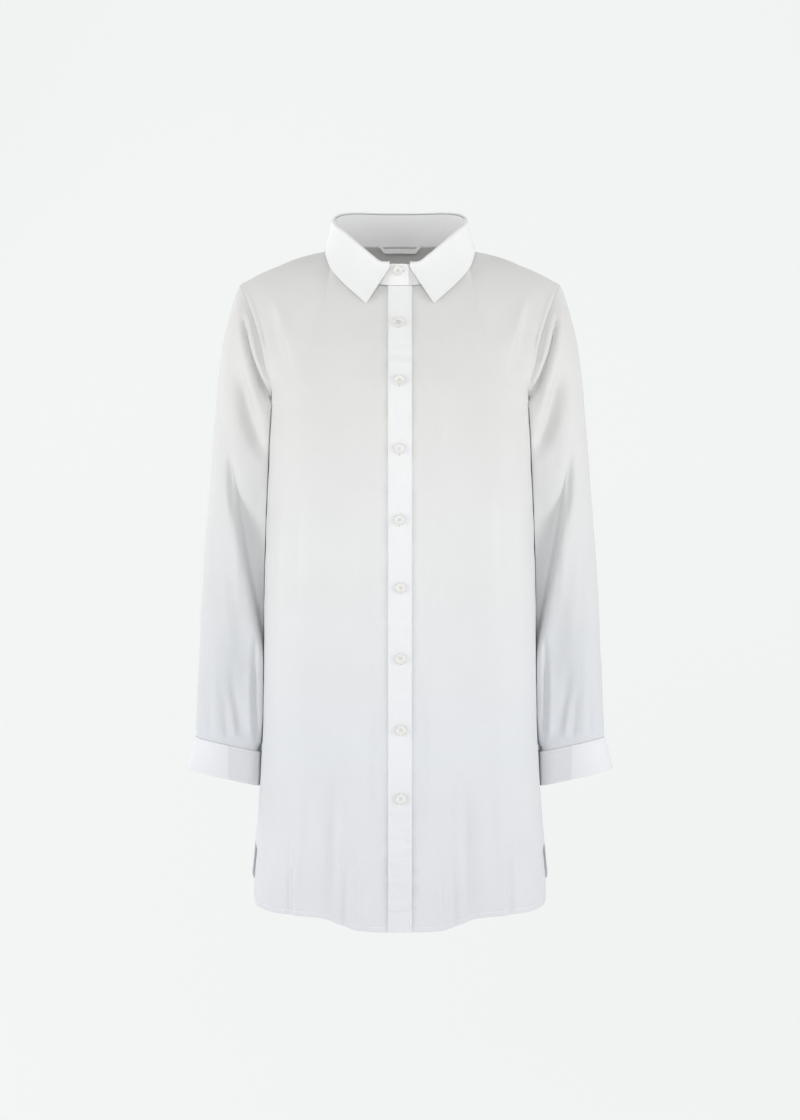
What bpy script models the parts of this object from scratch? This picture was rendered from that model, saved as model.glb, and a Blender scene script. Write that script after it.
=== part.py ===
"""A long white button-front shirt, hollow and filled out as if worn, with nobody in it.

Metres, +Z up. +X is the wearer's left, -Y is the front. The origin is the middle of the neck hole,
level with the inner ends of the shoulders, where the wearer's shoulders hold the shirt.
Every cloth piece is a closed wall of even thickness, drawn on one shared set of surfaces.
"""

import math
from collections import namedtuple

import bpy
import numpy as np
from mathutils import Vector

# Cloth walls and the gap left at every seam
BODY_WALL = 0.0012
SLEEVE_WALL = 0.0012
CUFF_WALL = 0.0018
BAND_WALL = 0.0016
FALL_WALL = 0.0018
PLACKET_WALL = 0.0014
LOOP_WALL = 0.0010
GAP = 0.0003
ARMHOLE_GAP = 0.00045

# Body
ARMPIT_Z = -0.190
SQUARENESS = 2.3
NECK_COLUMN_DEG = 42.0
SEAM_UNDER_PLACKET_DEG = 3.6
SIDE_SEAM_HALF_GAP_DEG = 0.08
VENT_TOP_Z = -0.730
VENT_TUCK = 0.034
VENT_TUCK_HEIGHT = 0.016
VENT_TUCK_POWER = 6
NECK_COLUMNS = 10
SHOULDER_COLUMNS = 6
STEP = 1e-4

# Placket, buttons and loop
PLACKET_HALF_WIDTH = 0.0144
BUTTON_RADIUS = 0.00635
BUTTON_HEIGHT = 0.0026
BUTTON_SEGMENTS = 16
LOOP_HALF_WIDTH = 0.0275
LOOP_TAPE = 0.0060
Button = namedtuple("Button", "x z")
BAND_BUTTON = Button(-0.0026, 0.66)
PLACKET_BUTTONS = (
    Button(-0.0018, -0.0930),
    Button(-0.0006, -0.1650),
    Button(-0.0006, -0.2480),
    Button(-0.0006, -0.3337),
    Button(0.0006, -0.4158),
    Button(0.0006, -0.5014),
    Button(0.0012, -0.5876),
    Button(0.0012, -0.6700),
)

# Level sections of the body below the armholes
Section = namedtuple("Section", "z half_width front back")
BODY = (
    Section(-0.880, 0.1920, 0.1310, 0.1160),
    Section(-0.800, 0.1865, 0.1290, 0.1110),
    Section(-0.730, 0.1800, 0.1270, 0.1060),
    Section(-0.660, 0.1742, 0.1250, 0.1010),
    Section(-0.560, 0.1700, 0.1225, 0.0970),
    Section(-0.430, 0.1692, 0.1205, 0.0950),
    Section(-0.320, 0.1662, 0.1195, 0.0960),
    Section(-0.250, 0.1640, 0.1175, 0.0990),
    Section(-0.190, 0.1630, 0.1120, 0.1000),
)

# Hem height by angle from the centre line: the front drops in the middle and has round corners at the vents
Hem = namedtuple("Hem", "angle z")
FRONT_HEM = (
    Hem(0, -0.8305),
    Hem(8, -0.8303),
    Hem(15, -0.8287),
    Hem(23, -0.8215),
    Hem(29, -0.8155),
    Hem(36, -0.8135),
    Hem(52, -0.8120),
    Hem(66, -0.8080),
    Hem(71, -0.8040),
    Hem(75, -0.7950),
    Hem(90, -0.7900),
)
BACK_HEM = (
    Hem(0, -0.8220),
    Hem(20, -0.8190),
    Hem(40, -0.8090),
    Hem(60, -0.7950),
    Hem(75, -0.7845),
    Hem(84, -0.7780),
    Hem(90, -0.7700),
)

# Where the side edge of the front lies as it leaves the side seam at the vent
Vent = namedtuple("Vent", "z angle")
FRONT_VENT = (Vent(-0.830, 73.5), Vent(-0.790, 75.5), Vent(-0.755, 82.0), Vent(-0.728, 90.0), Vent(0.0, 90.0))
BACK_VENT = (Vent(-0.830, 88.0), Vent(-0.790, 88.5), Vent(-0.755, 89.5), Vent(-0.728, 90.0), Vent(0.0, 90.0))

# The armhole seam, by the share of the way from the armpit (0) to the shoulder (1)
Armhole = namedtuple("Armhole", "rise x_front y_front x_back y_back z")
ARMHOLE = (
    Armhole(0.00, 0.1630, -0.0002, 0.1630, 0.0001, -0.1900),
    Armhole(0.03, 0.1610, -0.0120, 0.1615, 0.0110, -0.1890),
    Armhole(0.08, 0.1588, -0.0230, 0.1600, 0.0210, -0.1845),
    Armhole(0.15, 0.1578, -0.0330, 0.1592, 0.0300, -0.1750),
    Armhole(0.24, 0.1610, -0.0410, 0.1615, 0.0370, -0.1600),
    Armhole(0.35, 0.1668, -0.0445, 0.1665, 0.0400, -0.1400),
    Armhole(0.48, 0.1715, -0.0420, 0.1720, 0.0385, -0.1150),
    Armhole(0.62, 0.1785, -0.0340, 0.1790, 0.0320, -0.0910),
    Armhole(0.76, 0.1862, -0.0225, 0.1865, 0.0215, -0.0690),
    Armhole(0.89, 0.1935, -0.0105, 0.1935, 0.0105, -0.0510),
    Armhole(1.00, 0.1995, -0.0002, 0.1995, 0.0001, -0.0384),
)
ARMHOLE_REACH_DEG = 55.0

# The neck, by angle from the centre front: the seam below the collar band and the fold above it
NECK_HALF_WIDTH, NECK_HALF_DEPTH, NECK_CENTRE_Y = 0.0840, 0.0550, -0.0050
FOLD_HALF_WIDTH, FOLD_HALF_DEPTH, FOLD_CENTRE_Y = 0.0815, 0.0520, -0.0030
Neck = namedtuple("Neck", "angle seam fold")
NECK = (
    Neck(0, -0.0460, -0.0180),
    Neck(14, -0.0450, -0.0175),
    Neck(27, -0.0385, -0.0060),
    Neck(40, -0.0290, 0.0075),
    Neck(60, -0.0130, 0.0250),
    Neck(79, 0.0010, 0.0350),
    Neck(90, 0.0060, 0.0405),
    Neck(105, 0.0090, 0.0470),
    Neck(120, 0.0110, 0.0515),
    Neck(142, 0.0130, 0.0545),
    Neck(180, 0.0140, 0.0550),
)
NECK_SEAM_DEG = 85.0

# The top of the shoulder, with the shoulder seam a little in front of it
Shoulder = namedtuple("Shoulder", "x z")
SHOULDER = (
    Shoulder(0.0840, 0.0062),
    Shoulder(0.0990, 0.0030),
    Shoulder(0.1280, -0.0044),
    Shoulder(0.1550, -0.0145),
    Shoulder(0.1740, -0.0225),
    Shoulder(0.1995, -0.0360),
)
SHOULDER_X = (0.0840, 0.1995)
SEAM_DROP = 0.0024
SHOULDER_SEAM_Y = (-0.0098, 0.0000)

# The slope in degrees at which the cloth reaches the neck and the shoulder seam
Slope = namedtuple("Slope", "angle front back")
TOP_SLOPE = (
    Slope(0, 66, 58),
    Slope(22, 60, 48),
    Slope(36, 50, 22),
    Slope(42, 44, 2),
    Slope(52, 34, -20),
    Slope(66, 28, -28),
    Slope(90, 28, -28),
)

# Rings of the sleeve: outermost and innermost points, middle and half depth from front to back
Ring = namedtuple("Ring", "station x_out z_out x_in z_in y_mid half_depth")
SLEEVE = (
    Ring(0.000, 0.1990, -0.0380, 0.1633, -0.1890, -0.0020, 0.0430),
    Ring(0.022, 0.2030, -0.0465, 0.1672, -0.1882, 0.0000, 0.0475),
    Ring(0.050, 0.2078, -0.0590, 0.1680, -0.1940, 0.0030, 0.0500),
    Ring(0.100, 0.2157, -0.0850, 0.1668, -0.2085, 0.0100, 0.0530),
    Ring(0.170, 0.2240, -0.1200, 0.1648, -0.2330, 0.0190, 0.0550),
    Ring(0.270, 0.2305, -0.1750, 0.1630, -0.2720, 0.0260, 0.0560),
    Ring(0.380, 0.2360, -0.2400, 0.1628, -0.3180, 0.0300, 0.0560),
    Ring(0.500, 0.2415, -0.3110, 0.1632, -0.3700, 0.0310, 0.0545),
    Ring(0.620, 0.2470, -0.3840, 0.1645, -0.4260, 0.0300, 0.0520),
    Ring(0.740, 0.2508, -0.4580, 0.1665, -0.4870, 0.0270, 0.0480),
    Ring(0.870, 0.2540, -0.5375, 0.1695, -0.5570, 0.0220, 0.0430),
    Ring(0.960, 0.2562, -0.5910, 0.1722, -0.6080, 0.0185, 0.0375),
    Ring(0.985, 0.2535, -0.6018, 0.1766, -0.6193, 0.0180, 0.0318),
    Ring(1.000, 0.2541, -0.6090, 0.1768, -0.6265, 0.0180, 0.0316),
)
SLEEVE_STATIONS = (
    (0.0, 0.022, 0.05, 0.085, 0.125, 0.17, 0.22, 0.27, 0.325, 0.38, 0.43, 0.48)
    + (0.53, 0.58, 0.635, 0.69, 0.755, 0.82, 0.885, 0.935, 0.965, 0.985, 1.0)
)
SEAM_REACH = 0.16
INNER_SQUARENESS = 2.8
OUTER_SQUARENESS = 2.15
BESIDE_BODY = 0.0019
BESIDE_SOFTNESS = 0.0040
BESIDE_START_Z = -0.1912
BESIDE_SPAN = 0.0140

# The cuff overlaps the sleeve's end and closes at the back, with one button
CUFF_TOP = Ring(0.0, 0.2562, -0.6037, 0.1742, -0.6214, 0.0180, 0.0350)
CUFF_END = Ring(1.0, 0.2660, -0.6440, 0.1753, -0.6640, 0.0180, 0.0300)
CUFF_COLUMNS = 22
CUFF_ROWS = 3
CUFF_LAP_DEG = 34.0
CUFF_CLOSING_DEG = 222.0
CUFF_LIFT = 0.0022

# Folds of the cloth, each a soft trough (negative) or ridge between two places seen from the front
Fold = namedtuple("Fold", "x_top z_top x_low z_low outer inner height")
SLEEVE_FOLDS = (
    Fold(0.2130, -0.080, 0.1770, -0.200, 0.016, 0.014, 0.0030),
    Fold(0.2150, -0.120, 0.1680, -0.290, 0.016, 0.018, -0.0060),
    Fold(0.2190, -0.200, 0.1710, -0.580, 0.020, 0.034, -0.0150),
)
BODY_FOLDS = (
    Fold(0.1640, -0.030, 0.1370, -0.170, 0.011, 0.013, 0.0030),
    Fold(0.1750, -0.060, 0.1460, -0.190, 0.009, 0.011, -0.0026),
    Fold(0.0240, -0.460, 0.0250, -0.800, 0.018, 0.014, -0.0045),
    Fold(0.1110, -0.600, 0.1230, -0.900, 0.014, 0.012, 0.0045),
    Fold(0.0800, -0.580, 0.0860, -0.900, 0.014, 0.012, -0.0045),
)
BACK_FOLDS = (
    Fold(0.0900, -0.100, 0.0980, -0.440, 0.020, 0.016, 0.0035),
    Fold(0.0520, -0.300, 0.0560, -0.950, 0.022, 0.018, -0.0055),
    Fold(0.1180, -0.430, 0.1280, -0.950, 0.020, 0.016, -0.0045),
)

# Outer edge of the collar's fall: where it lies for each angle of the fold. From the side round to the
# back it stands free at y, and in front of that it lies on the chest
Fall = namedtuple("Fall", "angle x z y")
FALL_EDGE = (
    Fall(8.5, 0.0417, -0.0692, None),
    Fall(20.0, 0.0545, -0.0570, None),
    Fall(34.0, 0.0682, -0.0440, None),
    Fall(50.0, 0.0830, -0.0250, None),
    Fall(64.0, 0.0895, -0.0130, None),
    Fall(78.0, 0.0925, 0.0010, -0.0150),
    Fall(92.0, 0.0925, 0.0090, 0.0050),
    Fall(108.0, 0.0870, 0.0120, 0.0270),
    Fall(130.0, 0.0680, 0.0105, 0.0500),
    Fall(155.0, 0.0360, 0.0080, 0.0640),
    Fall(180.0, 0.0, 0.0070, 0.0670),
)
FALL_LIFT = 0.0030
FALL_ROLL = ((-0.0004, 0.0018), (0.0018, 0.0020), (0.0034, 0.0000), (0.0042, -0.0045))
FALL_ROWS = 4
FALL_COLUMNS = 36
BAND_LAP = 0.0021
BAND_LAP_DEG = 7.2
BAND_LIFT = 0.0010

LOWER_ROWS = (0.0, 0.022, 0.055, 0.10, 0.16, 0.24, 0.33, 0.43, 0.53, 0.63, 0.73, 0.83, 0.92)
UPPER_ROWS = (0.0, 0.015, 0.035, 0.065, 0.105, 0.16, 0.24, 0.35, 0.48, 0.62, 0.76, 0.89, 1.0)


def read(rows, key, column, at):
    """A column of a table at values of its key column, on a smooth curve that never overshoots a row."""
    table = sorted(rows, key=lambda row: getattr(row, key))
    x = np.array([getattr(row, key) for row in table], float)
    y = np.array([getattr(row, column) for row in table], float)
    step = np.diff(x)
    rate = np.diff(y) / step
    slope = np.concatenate([rate[:1], np.zeros(len(x) - 2), rate[-1:]])
    product = rate[:-1] * rate[1:]
    turning = product > 0
    slope[1:-1][turning] = 2 * product[turning] / (rate[:-1] + rate[1:])[turning]
    at = np.asarray(at, float)
    i = np.clip(np.searchsorted(x, at) - 1, 0, len(step) - 1)
    share = np.clip((at - x[i]) / step[i], 0, 1)
    return hermite(y[i], slope[i] * step[i], y[i + 1], slope[i + 1] * step[i], share)


def hermite(start, start_tangent, end, end_tangent, share):
    """A cubic from start to end with the tangents given."""
    square, cube = share**2, share**3
    return (
        (2 * cube - 3 * square + 1) * start
        + (cube - 2 * square + share) * start_tangent
        + (3 * square - 2 * cube) * end
        + (cube - square) * end_tangent
    )


def ease(share):
    share = np.clip(share, 0, 1)
    return share * share * (3 - 2 * share)


def unit(vectors):
    return vectors / np.maximum(np.linalg.norm(vectors, axis=-1, keepdims=True), 1e-12)


def rounded(degrees, squareness):
    """The two coordinates of a unit superellipse in the direction of an angle from its second axis."""
    angle = np.radians(degrees)
    sine, cosine = np.sin(angle), np.cos(angle)
    radius = (np.abs(sine) ** squareness + np.abs(cosine) ** squareness) ** (-1 / squareness)
    return sine * radius, cosine * radius


def neck_ring(degrees, fold=False):
    """The neck seam or the collar's fold, by angle from the centre front, positive to the wearer's left."""
    angle = np.radians(degrees)
    turn = np.abs((np.asarray(degrees, float) + 180) % 360 - 180)
    if fold:
        width, depth, centre = FOLD_HALF_WIDTH, FOLD_HALF_DEPTH, FOLD_CENTRE_Y
    else:
        width, depth, centre = NECK_HALF_WIDTH, NECK_HALF_DEPTH, NECK_CENTRE_Y
    height = read(NECK, "angle", "fold" if fold else "seam", turn)
    return np.stack([width * np.sin(angle), centre - depth * np.cos(angle), height], -1)


def level_ring(angle, z, back):
    """The body at height z, by angle from the centre line of the front or of the back."""
    across, along = rounded(angle, SQUARENESS)
    depth = read(BODY, "z", "back", z) if back else -read(BODY, "z", "front", z)
    width = read(BODY, "z", "half_width", z)
    if not back:
        beside_vent = ease((VENT_TOP_Z - z) / VENT_TUCK_HEIGHT) * (np.abs(angle) / 90) ** VENT_TUCK_POWER
        width = width * (1 - VENT_TUCK * beside_vent)
    return np.stack([width * across, depth * along, z + 0 * across], -1)


def shoulder_seam(share):
    """The shoulder seam, from the neck (0) to the armhole (1)."""
    x = SHOULDER_X[0] + (SHOULDER_X[1] - SHOULDER_X[0]) * share
    y = SHOULDER_SEAM_Y[0] + (SHOULDER_SEAM_Y[1] - SHOULDER_SEAM_Y[0]) * share
    return np.stack([x, y, read(SHOULDER, "x", "z", x) - SEAM_DROP], -1)


def top_edge(angle, back):
    """The neck edge and then the shoulder seam, by angle from the centre line."""
    turn = np.abs(angle)
    share = np.clip(turn / NECK_COLUMN_DEG, 0, 1)
    neck_angle = 180 - (180 - NECK_SEAM_DEG) * share if back else NECK_SEAM_DEG * share
    seam_share = np.clip((turn - NECK_COLUMN_DEG) / (90 - NECK_COLUMN_DEG), 0, 1)
    edge = np.where((turn <= NECK_COLUMN_DEG)[..., None], neck_ring(neck_angle), shoulder_seam(seam_share))
    edge[..., 0] *= np.sign(angle)
    return edge


def strings(angle, share, back):
    """The cloth above the armpit row, a smooth string at each angle up to the neck or the shoulder seam."""
    start = level_ring(angle, np.full(angle.shape, ARMPIT_Z), back)
    below = level_ring(angle, np.full(angle.shape, ARMPIT_Z - 0.02), back)
    end = top_edge(angle, back)
    length = np.linalg.norm(end - start, axis=-1, keepdims=True)
    slope = np.radians(read(TOP_SLOPE, "angle", "back" if back else "front", np.abs(angle)))
    forward = -1 if back else 1
    end_direction = np.stack([0 * slope, forward * np.cos(slope), np.sin(slope)], -1)
    return hermite(start, unit(start - below) * length, end, end_direction * length, share[..., None])


def armhole_seam(rise, back):
    """The armhole seam on the wearer's left, for the front or for the back."""
    side = "back" if back else "front"
    return np.stack([read(ARMHOLE, "rise", column, rise) for column in ("x_" + side, "y_" + side, "z")], -1)


def body_base(angle, height, back):
    """The body's cloth without its folds. Height runs from the hem (0) by the armpit row (1) to the top (2)."""
    angle, height = np.broadcast_arrays(np.asarray(angle, float), np.asarray(height, float))
    turn = np.abs(angle)
    hem = read(BACK_HEM if back else FRONT_HEM, "angle", "z", turn)
    low = level_ring(angle, hem + (ARMPIT_Z - hem) * np.minimum(height, 1), back)
    share = np.clip(height - 1, 0, 1)
    high = strings(angle, share, back)
    side = np.full(angle.shape, 90.0)
    pull = armhole_seam(share, back) - strings(side, share, back)
    pull = pull * (np.clip(1 - (90 - turn) / ARMHOLE_REACH_DEG, 0, 1) ** 2)[..., None]
    pull[..., 0] *= np.sign(angle)
    return np.where((height <= 1)[..., None], low, high + pull)


def fold_height(folds, x, z):
    """The sum of the folds' heights at places seen from the front, each wider on its inner or outer side."""
    total = 0 * x
    for fold in folds:
        run = np.array([fold.x_low - fold.x_top, fold.z_low - fold.z_top])
        length = np.hypot(*run)
        along = ((x - fold.x_top) * run[0] + (z - fold.z_top) * run[1]) / length**2
        outward = ((z - fold.z_top) * run[0] - (x - fold.x_top) * run[1]) / length
        width = np.where(outward > 0, fold.outer, fold.inner)
        ends = ease(along / 0.45) * ease((1 - along) / 0.45)
        total = total + fold.height * np.exp(-((outward / width) ** 2)) * ends
    return total


def surface_normal(surface, u, v, outward):
    """The unit normal of a surface of two parameters, turned to point outward."""
    across = surface(u + STEP * 100, v) - surface(u - STEP * 100, v)
    up = surface(u, np.minimum(v + STEP, 2)) - surface(u, np.minimum(v + STEP, 2) - 2 * STEP)
    return unit(np.cross(across, up)) * outward


def body_point(angle, height, back):
    """The body's cloth with its folds, which fade at the seams."""
    angle, height = np.broadcast_arrays(np.asarray(angle, float), np.asarray(height, float))
    base = body_base(angle, height, back)
    outward = -1 if back else 1
    normal = surface_normal(lambda u, v: body_base(u, v, back), angle, height, outward)
    fade = ease((90 - np.abs(angle)) / 14) * ease((2 - height) / 0.25) * ease((np.abs(angle) - 5.2) / 7 + back)
    lift = fold_height(BACK_FOLDS if back else BODY_FOLDS, np.abs(base[..., 0]), base[..., 2])
    return base + normal * (lift * fade)[..., None]


def body_normal(angle, height, back):
    return surface_normal(lambda u, v: body_point(u, v, back), angle, height, -1 if back else 1)


def side_limit(height, back):
    """The angle at which the panel ends at each height: the vent, the side seam and the armhole."""
    hem = (BACK_HEM if back else FRONT_HEM)[-1].z
    z = hem + (ARMPIT_Z - hem) * np.minimum(height, 1)
    low = read(BACK_VENT if back else FRONT_VENT, "z", "angle", z)
    return np.where(height <= 1, low, 90.0) - SIDE_SEAM_HALF_GAP_DEG


def column_angles():
    """The nominal angles of the columns from the centre line to the side."""
    neck = np.linspace(0, NECK_COLUMN_DEG, NECK_COLUMNS + 1)
    return np.concatenate([neck, np.linspace(NECK_COLUMN_DEG, 90, SHOULDER_COLUMNS + 1)[1:]])


def row_heights():
    return np.array(LOWER_ROWS + tuple(1 + v for v in UPPER_ROWS))


def panel_angles(columns, rows, back):
    """Angles of a grid whose outer columns draw in to the panel's side edge."""
    drawn = (90 - side_limit(rows, back))[:, None] * (np.abs(columns) / 90)[None, :] ** 3
    return columns[None, :] - np.sign(columns)[None, :] * drawn


def mitre(first, second):
    """Wall directions at a seam, midway between the normals of its two sides and long enough for both."""
    middle = unit(first + second)
    return middle / np.maximum((middle * unit(first)).sum(-1, keepdims=True), 0.6)


def body_grid(columns, back, armhole_walls):
    """Points and wall directions of a body panel, a row for each height, with its top edge short of the seam."""
    rows = row_heights()
    angles = panel_angles(columns, rows, back)
    heights = np.broadcast_to(rows[:, None], angles.shape)
    points = body_point(angles, heights, back)
    normals = body_normal(angles, heights, back)
    seam = np.abs(angles[-1]) > NECK_COLUMN_DEG - 1
    other = body_normal(angles[-1], heights[-1], not back)
    normals[-1, seam] = mitre(normals[-1], other)[seam]
    points[-1] -= unit(points[-1] - points[-2]) * GAP / 2
    for column in (0, -1):
        if abs(columns[column]) == 90:
            sign = np.array([np.sign(columns[column]), 1, 1])
            normals[-len(UPPER_ROWS) :, column] = armhole_walls[back] * sign
    return points, normals


def wall(name, points, normals, thickness, material, closed=False, flip=False):
    """A closed wall along a grid of points, half its thickness to each side, joined round if closed."""
    rows, columns = points.shape[:2]
    faces_out, faces_in, rim = [], [], []
    count = rows * columns
    spans = columns if closed else columns - 1

    def index(i, j):
        return i * columns + j % columns

    for i in range(rows - 1):
        for j in range(spans):
            quad = [index(i, j), index(i, j + 1), index(i + 1, j + 1), index(i + 1, j)]
            faces_out.append(quad)
            faces_in.append([count + k for k in reversed(quad)])
    edges = [(index(0, j + 1), index(0, j)) for j in range(spans)]
    edges += [(index(rows - 1, j), index(rows - 1, j + 1)) for j in range(spans)]
    if not closed:
        edges += [(index(i, 0), index(i + 1, 0)) for i in range(rows - 1)]
        edges += [(index(i + 1, columns - 1), index(i, columns - 1)) for i in range(rows - 1)]
    rim = [[a, b, count + b, count + a] for a, b in edges]
    half = normals * thickness / 2
    vertices = np.concatenate([(points + half).reshape(-1, 3), (points - half).reshape(-1, 3)])
    faces = faces_out + faces_in + rim
    if flip:
        faces = [face[::-1] for face in faces]
    mesh = bpy.data.meshes.new(name)
    mesh.from_pydata(vertices.tolist(), [], faces)
    return add(name, mesh, material)


def add(name, mesh, material):
    mesh.shade_smooth()
    mesh.set_sharp_from_angle(angle=math.radians(40))
    thing = bpy.data.objects.new(name, mesh)
    bpy.context.scene.collection.objects.link(thing)
    mesh.materials.append(material)
    return thing


def mirrored(vectors):
    return vectors * np.array([-1.0, 1.0, 1.0])


def grid_normals(points, closed):
    """Normals of a grid of points from its own neighbours, to the left of its rows as they run down."""
    if closed:
        across = np.roll(points, -1, 1) - np.roll(points, 1, 1)
    else:
        across = np.gradient(points, axis=1)
    return unit(np.cross(np.gradient(points, axis=0), across))


def armhole_ring():
    """The armhole of the body, from the armpit up the front, over the shoulder and down the back, with the
    body's normals there."""
    rise = np.array(UPPER_ROWS)
    angle = np.full(rise.shape, 90 - SIDE_SEAM_HALF_GAP_DEG)
    front, rear = (body_point(angle, 1 + rise, back) for back in (False, True))
    front_normals, rear_normals = (body_normal(angle, 1 + rise, back) for back in (False, True))
    points = np.concatenate([front, rear[-2:0:-1]])
    normals = np.concatenate([front_normals, rear_normals[-2:0:-1]])
    for here, end in ((0, 0), (len(rise) - 1, -1)):
        points[here] = (front[end] + rear[end]) / 2
        normals[here] = unit(front_normals[end] + rear_normals[end])
    return points, normals


def ring_points(row, degrees):
    """A ring of the sleeve, by angle from its innermost point, the front first."""
    inner = np.cos(np.radians(degrees)) > 0
    across, along = rounded(degrees, np.where(inner, INNER_SQUARENESS, OUTER_SQUARENESS))
    x = (row.x_out + row.x_in) / 2 - (row.x_out - row.x_in) / 2 * along
    z = (row.z_out + row.z_in) / 2 - (row.z_out - row.z_in) / 2 * along
    return np.stack([x, row.y_mid - row.half_depth * across, z], -1)


def sleeve_ring(station):
    return Ring(station, *(float(read(SLEEVE, "station", column, station)) for column in Ring._fields[1:]))


def beside_body(points):
    """Keeps the sleeve, below the armpit, clear of the body's side that it lies against."""
    x, y, z = np.moveaxis(points, -1, 0)
    depth = np.where(y > 0, read(BODY, "z", "back", z), read(BODY, "z", "front", z))
    share = np.minimum(np.abs(y) / depth, 1)
    side = read(BODY, "z", "half_width", z) * (1 - share**SQUARENESS) ** (1 / SQUARENESS) + BESIDE_BODY
    blend = np.clip(1 - np.abs(x - side) / BESIDE_SOFTNESS, 0, 1)
    clear = np.maximum(x, side) + blend**2 * BESIDE_SOFTNESS / 4
    below = ease((BESIDE_START_Z - z) / BESIDE_SPAN)
    return np.stack([x + (clear - x) * below, y, z], -1)


def sleeve_grid():
    """Points and wall directions of the left sleeve, a row for each station down the arm, and the wall
    directions that the front and the back take at the armhole."""
    seam, seam_normals = armhole_ring()
    degrees = np.linspace(0, 360, len(seam), endpoint=False)
    stations = np.array(SLEEVE_STATIONS)
    base = np.stack([ring_points(sleeve_ring(s), degrees) for s in stations])
    reach = np.clip(1 - stations / SEAM_REACH, 0, 1)[:, None, None] ** 2
    points = beside_body(base + (seam - base[0]) * reach)
    normals = grid_normals(points, closed=True)
    front = ease((90 - np.abs(degrees - 90)) / 40)[None, :]
    fade = (ease(stations / 0.05) * ease((1 - stations) / 0.1))[:, None]
    lift = fold_height(SLEEVE_FOLDS, points[..., 0], points[..., 2]) * front * fade
    points = beside_body(points + normals * lift[..., None])
    normals = grid_normals(points, closed=True)
    normals[0] = mitre(seam_normals, normals[0])
    for _ in range(2):
        normals[0] = (np.roll(normals[0], 1, 0) + 2 * normals[0] + np.roll(normals[0], -1, 0)) / 4
    along_seam = np.roll(seam, -1, 0) - np.roll(seam, 1, 0)
    points[0] = seam - unit(np.cross(normals[0], along_seam)) * ARMHOLE_GAP
    top = len(UPPER_ROWS) - 1
    front_walls = normals[0][: top + 1]
    back_walls = np.concatenate([normals[0][:1], normals[0][:top - 1 : -1]])
    return points, normals, (front_walls, back_walls)


def cuff_grid():
    """The left cuff, with its overlapping end at the back, and where its button sits."""
    degrees = CUFF_CLOSING_DEG + np.linspace(-CUFF_LAP_DEG / 2, 360 + CUFF_LAP_DEG / 2, CUFF_COLUMNS)
    lift = CUFF_LIFT * ease((degrees - CUFF_CLOSING_DEG - 300) / 40)
    rows = []
    for share in np.linspace(0, 1, CUFF_ROWS):
        top, end = ring_points(CUFF_TOP, degrees), ring_points(CUFF_END, degrees)
        rows.append(top + (end - top) * share)
    points = np.stack(rows)
    normals = grid_normals(points, closed=False)
    return points + normals * lift[None, :, None], normals


def band_point(degrees, share):
    """The collar band from its seam (0) to its fold (1). The end at angle 0 and below lies on the other."""
    seam = neck_ring(degrees) + np.array([0, 0, BAND_LIFT])
    point = seam + (neck_ring(degrees, fold=True) - seam) * share[..., None]
    angle = np.radians(degrees)
    outward = np.stack([np.sin(angle), -np.cos(angle), 0 * angle], -1)
    lap = BAND_LAP * (1 - ease((degrees - 12) / 22))
    return point + outward * lap[..., None], outward


def band_grid():
    """The collar band, from its outer end left of the centre front, round the back to its inner end."""
    front = np.linspace(0, NECK_SEAM_DEG, NECK_COLUMNS + 1)
    rear = np.linspace(NECK_SEAM_DEG, 180, NECK_COLUMNS + 1)[1:]
    half = np.concatenate([front, rear])
    degrees = np.concatenate([[-BAND_LAP_DEG], half, 360 - half[-2::-1], [360 + BAND_LAP_DEG]])
    rows = [band_point(degrees, np.full(degrees.shape, share)) for share in (0.0, 0.5, 1.0)]
    points = np.stack([mirrored(row[0]) for row in rows])
    return points, np.stack([mirrored(row[1]) for row in rows])


def place_on_front(x, z):
    """The angle and height of the body's front surface where it is seen at x and z from the front."""
    target = np.array([x, z])
    guess = np.array([x * 300, 1.5 if z > ARMPIT_Z else 0.5])
    for _ in range(60):
        here = body_point(guess[0], guess[1], False)[[0, 2]]
        right = body_point(guess[0] + 0.01, guess[1], False)[[0, 2]]
        below = body_point(guess[0], guess[1] - 1e-4, False)[[0, 2]]
        jacobian = np.stack([(right - here) / 0.01, (here - below) / 1e-4], 1)
        step = np.linalg.solve(jacobian, target - here)
        guess = np.clip(guess + np.clip(step, (-6, -0.1), (6, 0.1)), (-89.9, 0.01), (89.9, 1.999))
    return guess


def fall_edge(row):
    """The outer edge of the fall for a row of its table."""
    if row.y is not None:
        return np.array([row.x, row.y, row.z])
    angle, height = place_on_front(row.x, row.z)
    return body_point(angle, height, False) + body_normal(angle, height, False) * FALL_LIFT


Edge = namedtuple("Edge", "angle x y z")


def fall_grid():
    """The collar's fall: a roll over the top of the band, then a straight leaf down to its outer edge."""
    edges = [Edge(row.angle, *fall_edge(row)) for row in FALL_EDGE]
    half = FALL_EDGE[0].angle
    degrees = np.linspace(half, 360 - half, FALL_COLUMNS + 1)
    turn = 180 - np.abs(180 - degrees)
    edge = np.stack([read(edges, "angle", column, turn) for column in "xyz"], -1)
    edge[:, 0] *= np.where(degrees > 180, -1, 1)
    top, outward = band_point(degrees, np.ones(degrees.shape))
    up = np.array([0, 0, 1])
    rows = [top + outward * out + up * rise for out, rise in FALL_ROLL]
    rows += [rows[3] + (edge - rows[3]) * share for share in np.linspace(0, 1, FALL_ROWS + 1)[1:]]
    points = np.stack([mirrored(row) for row in rows])
    return points, grid_normals(points, closed=False)


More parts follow.
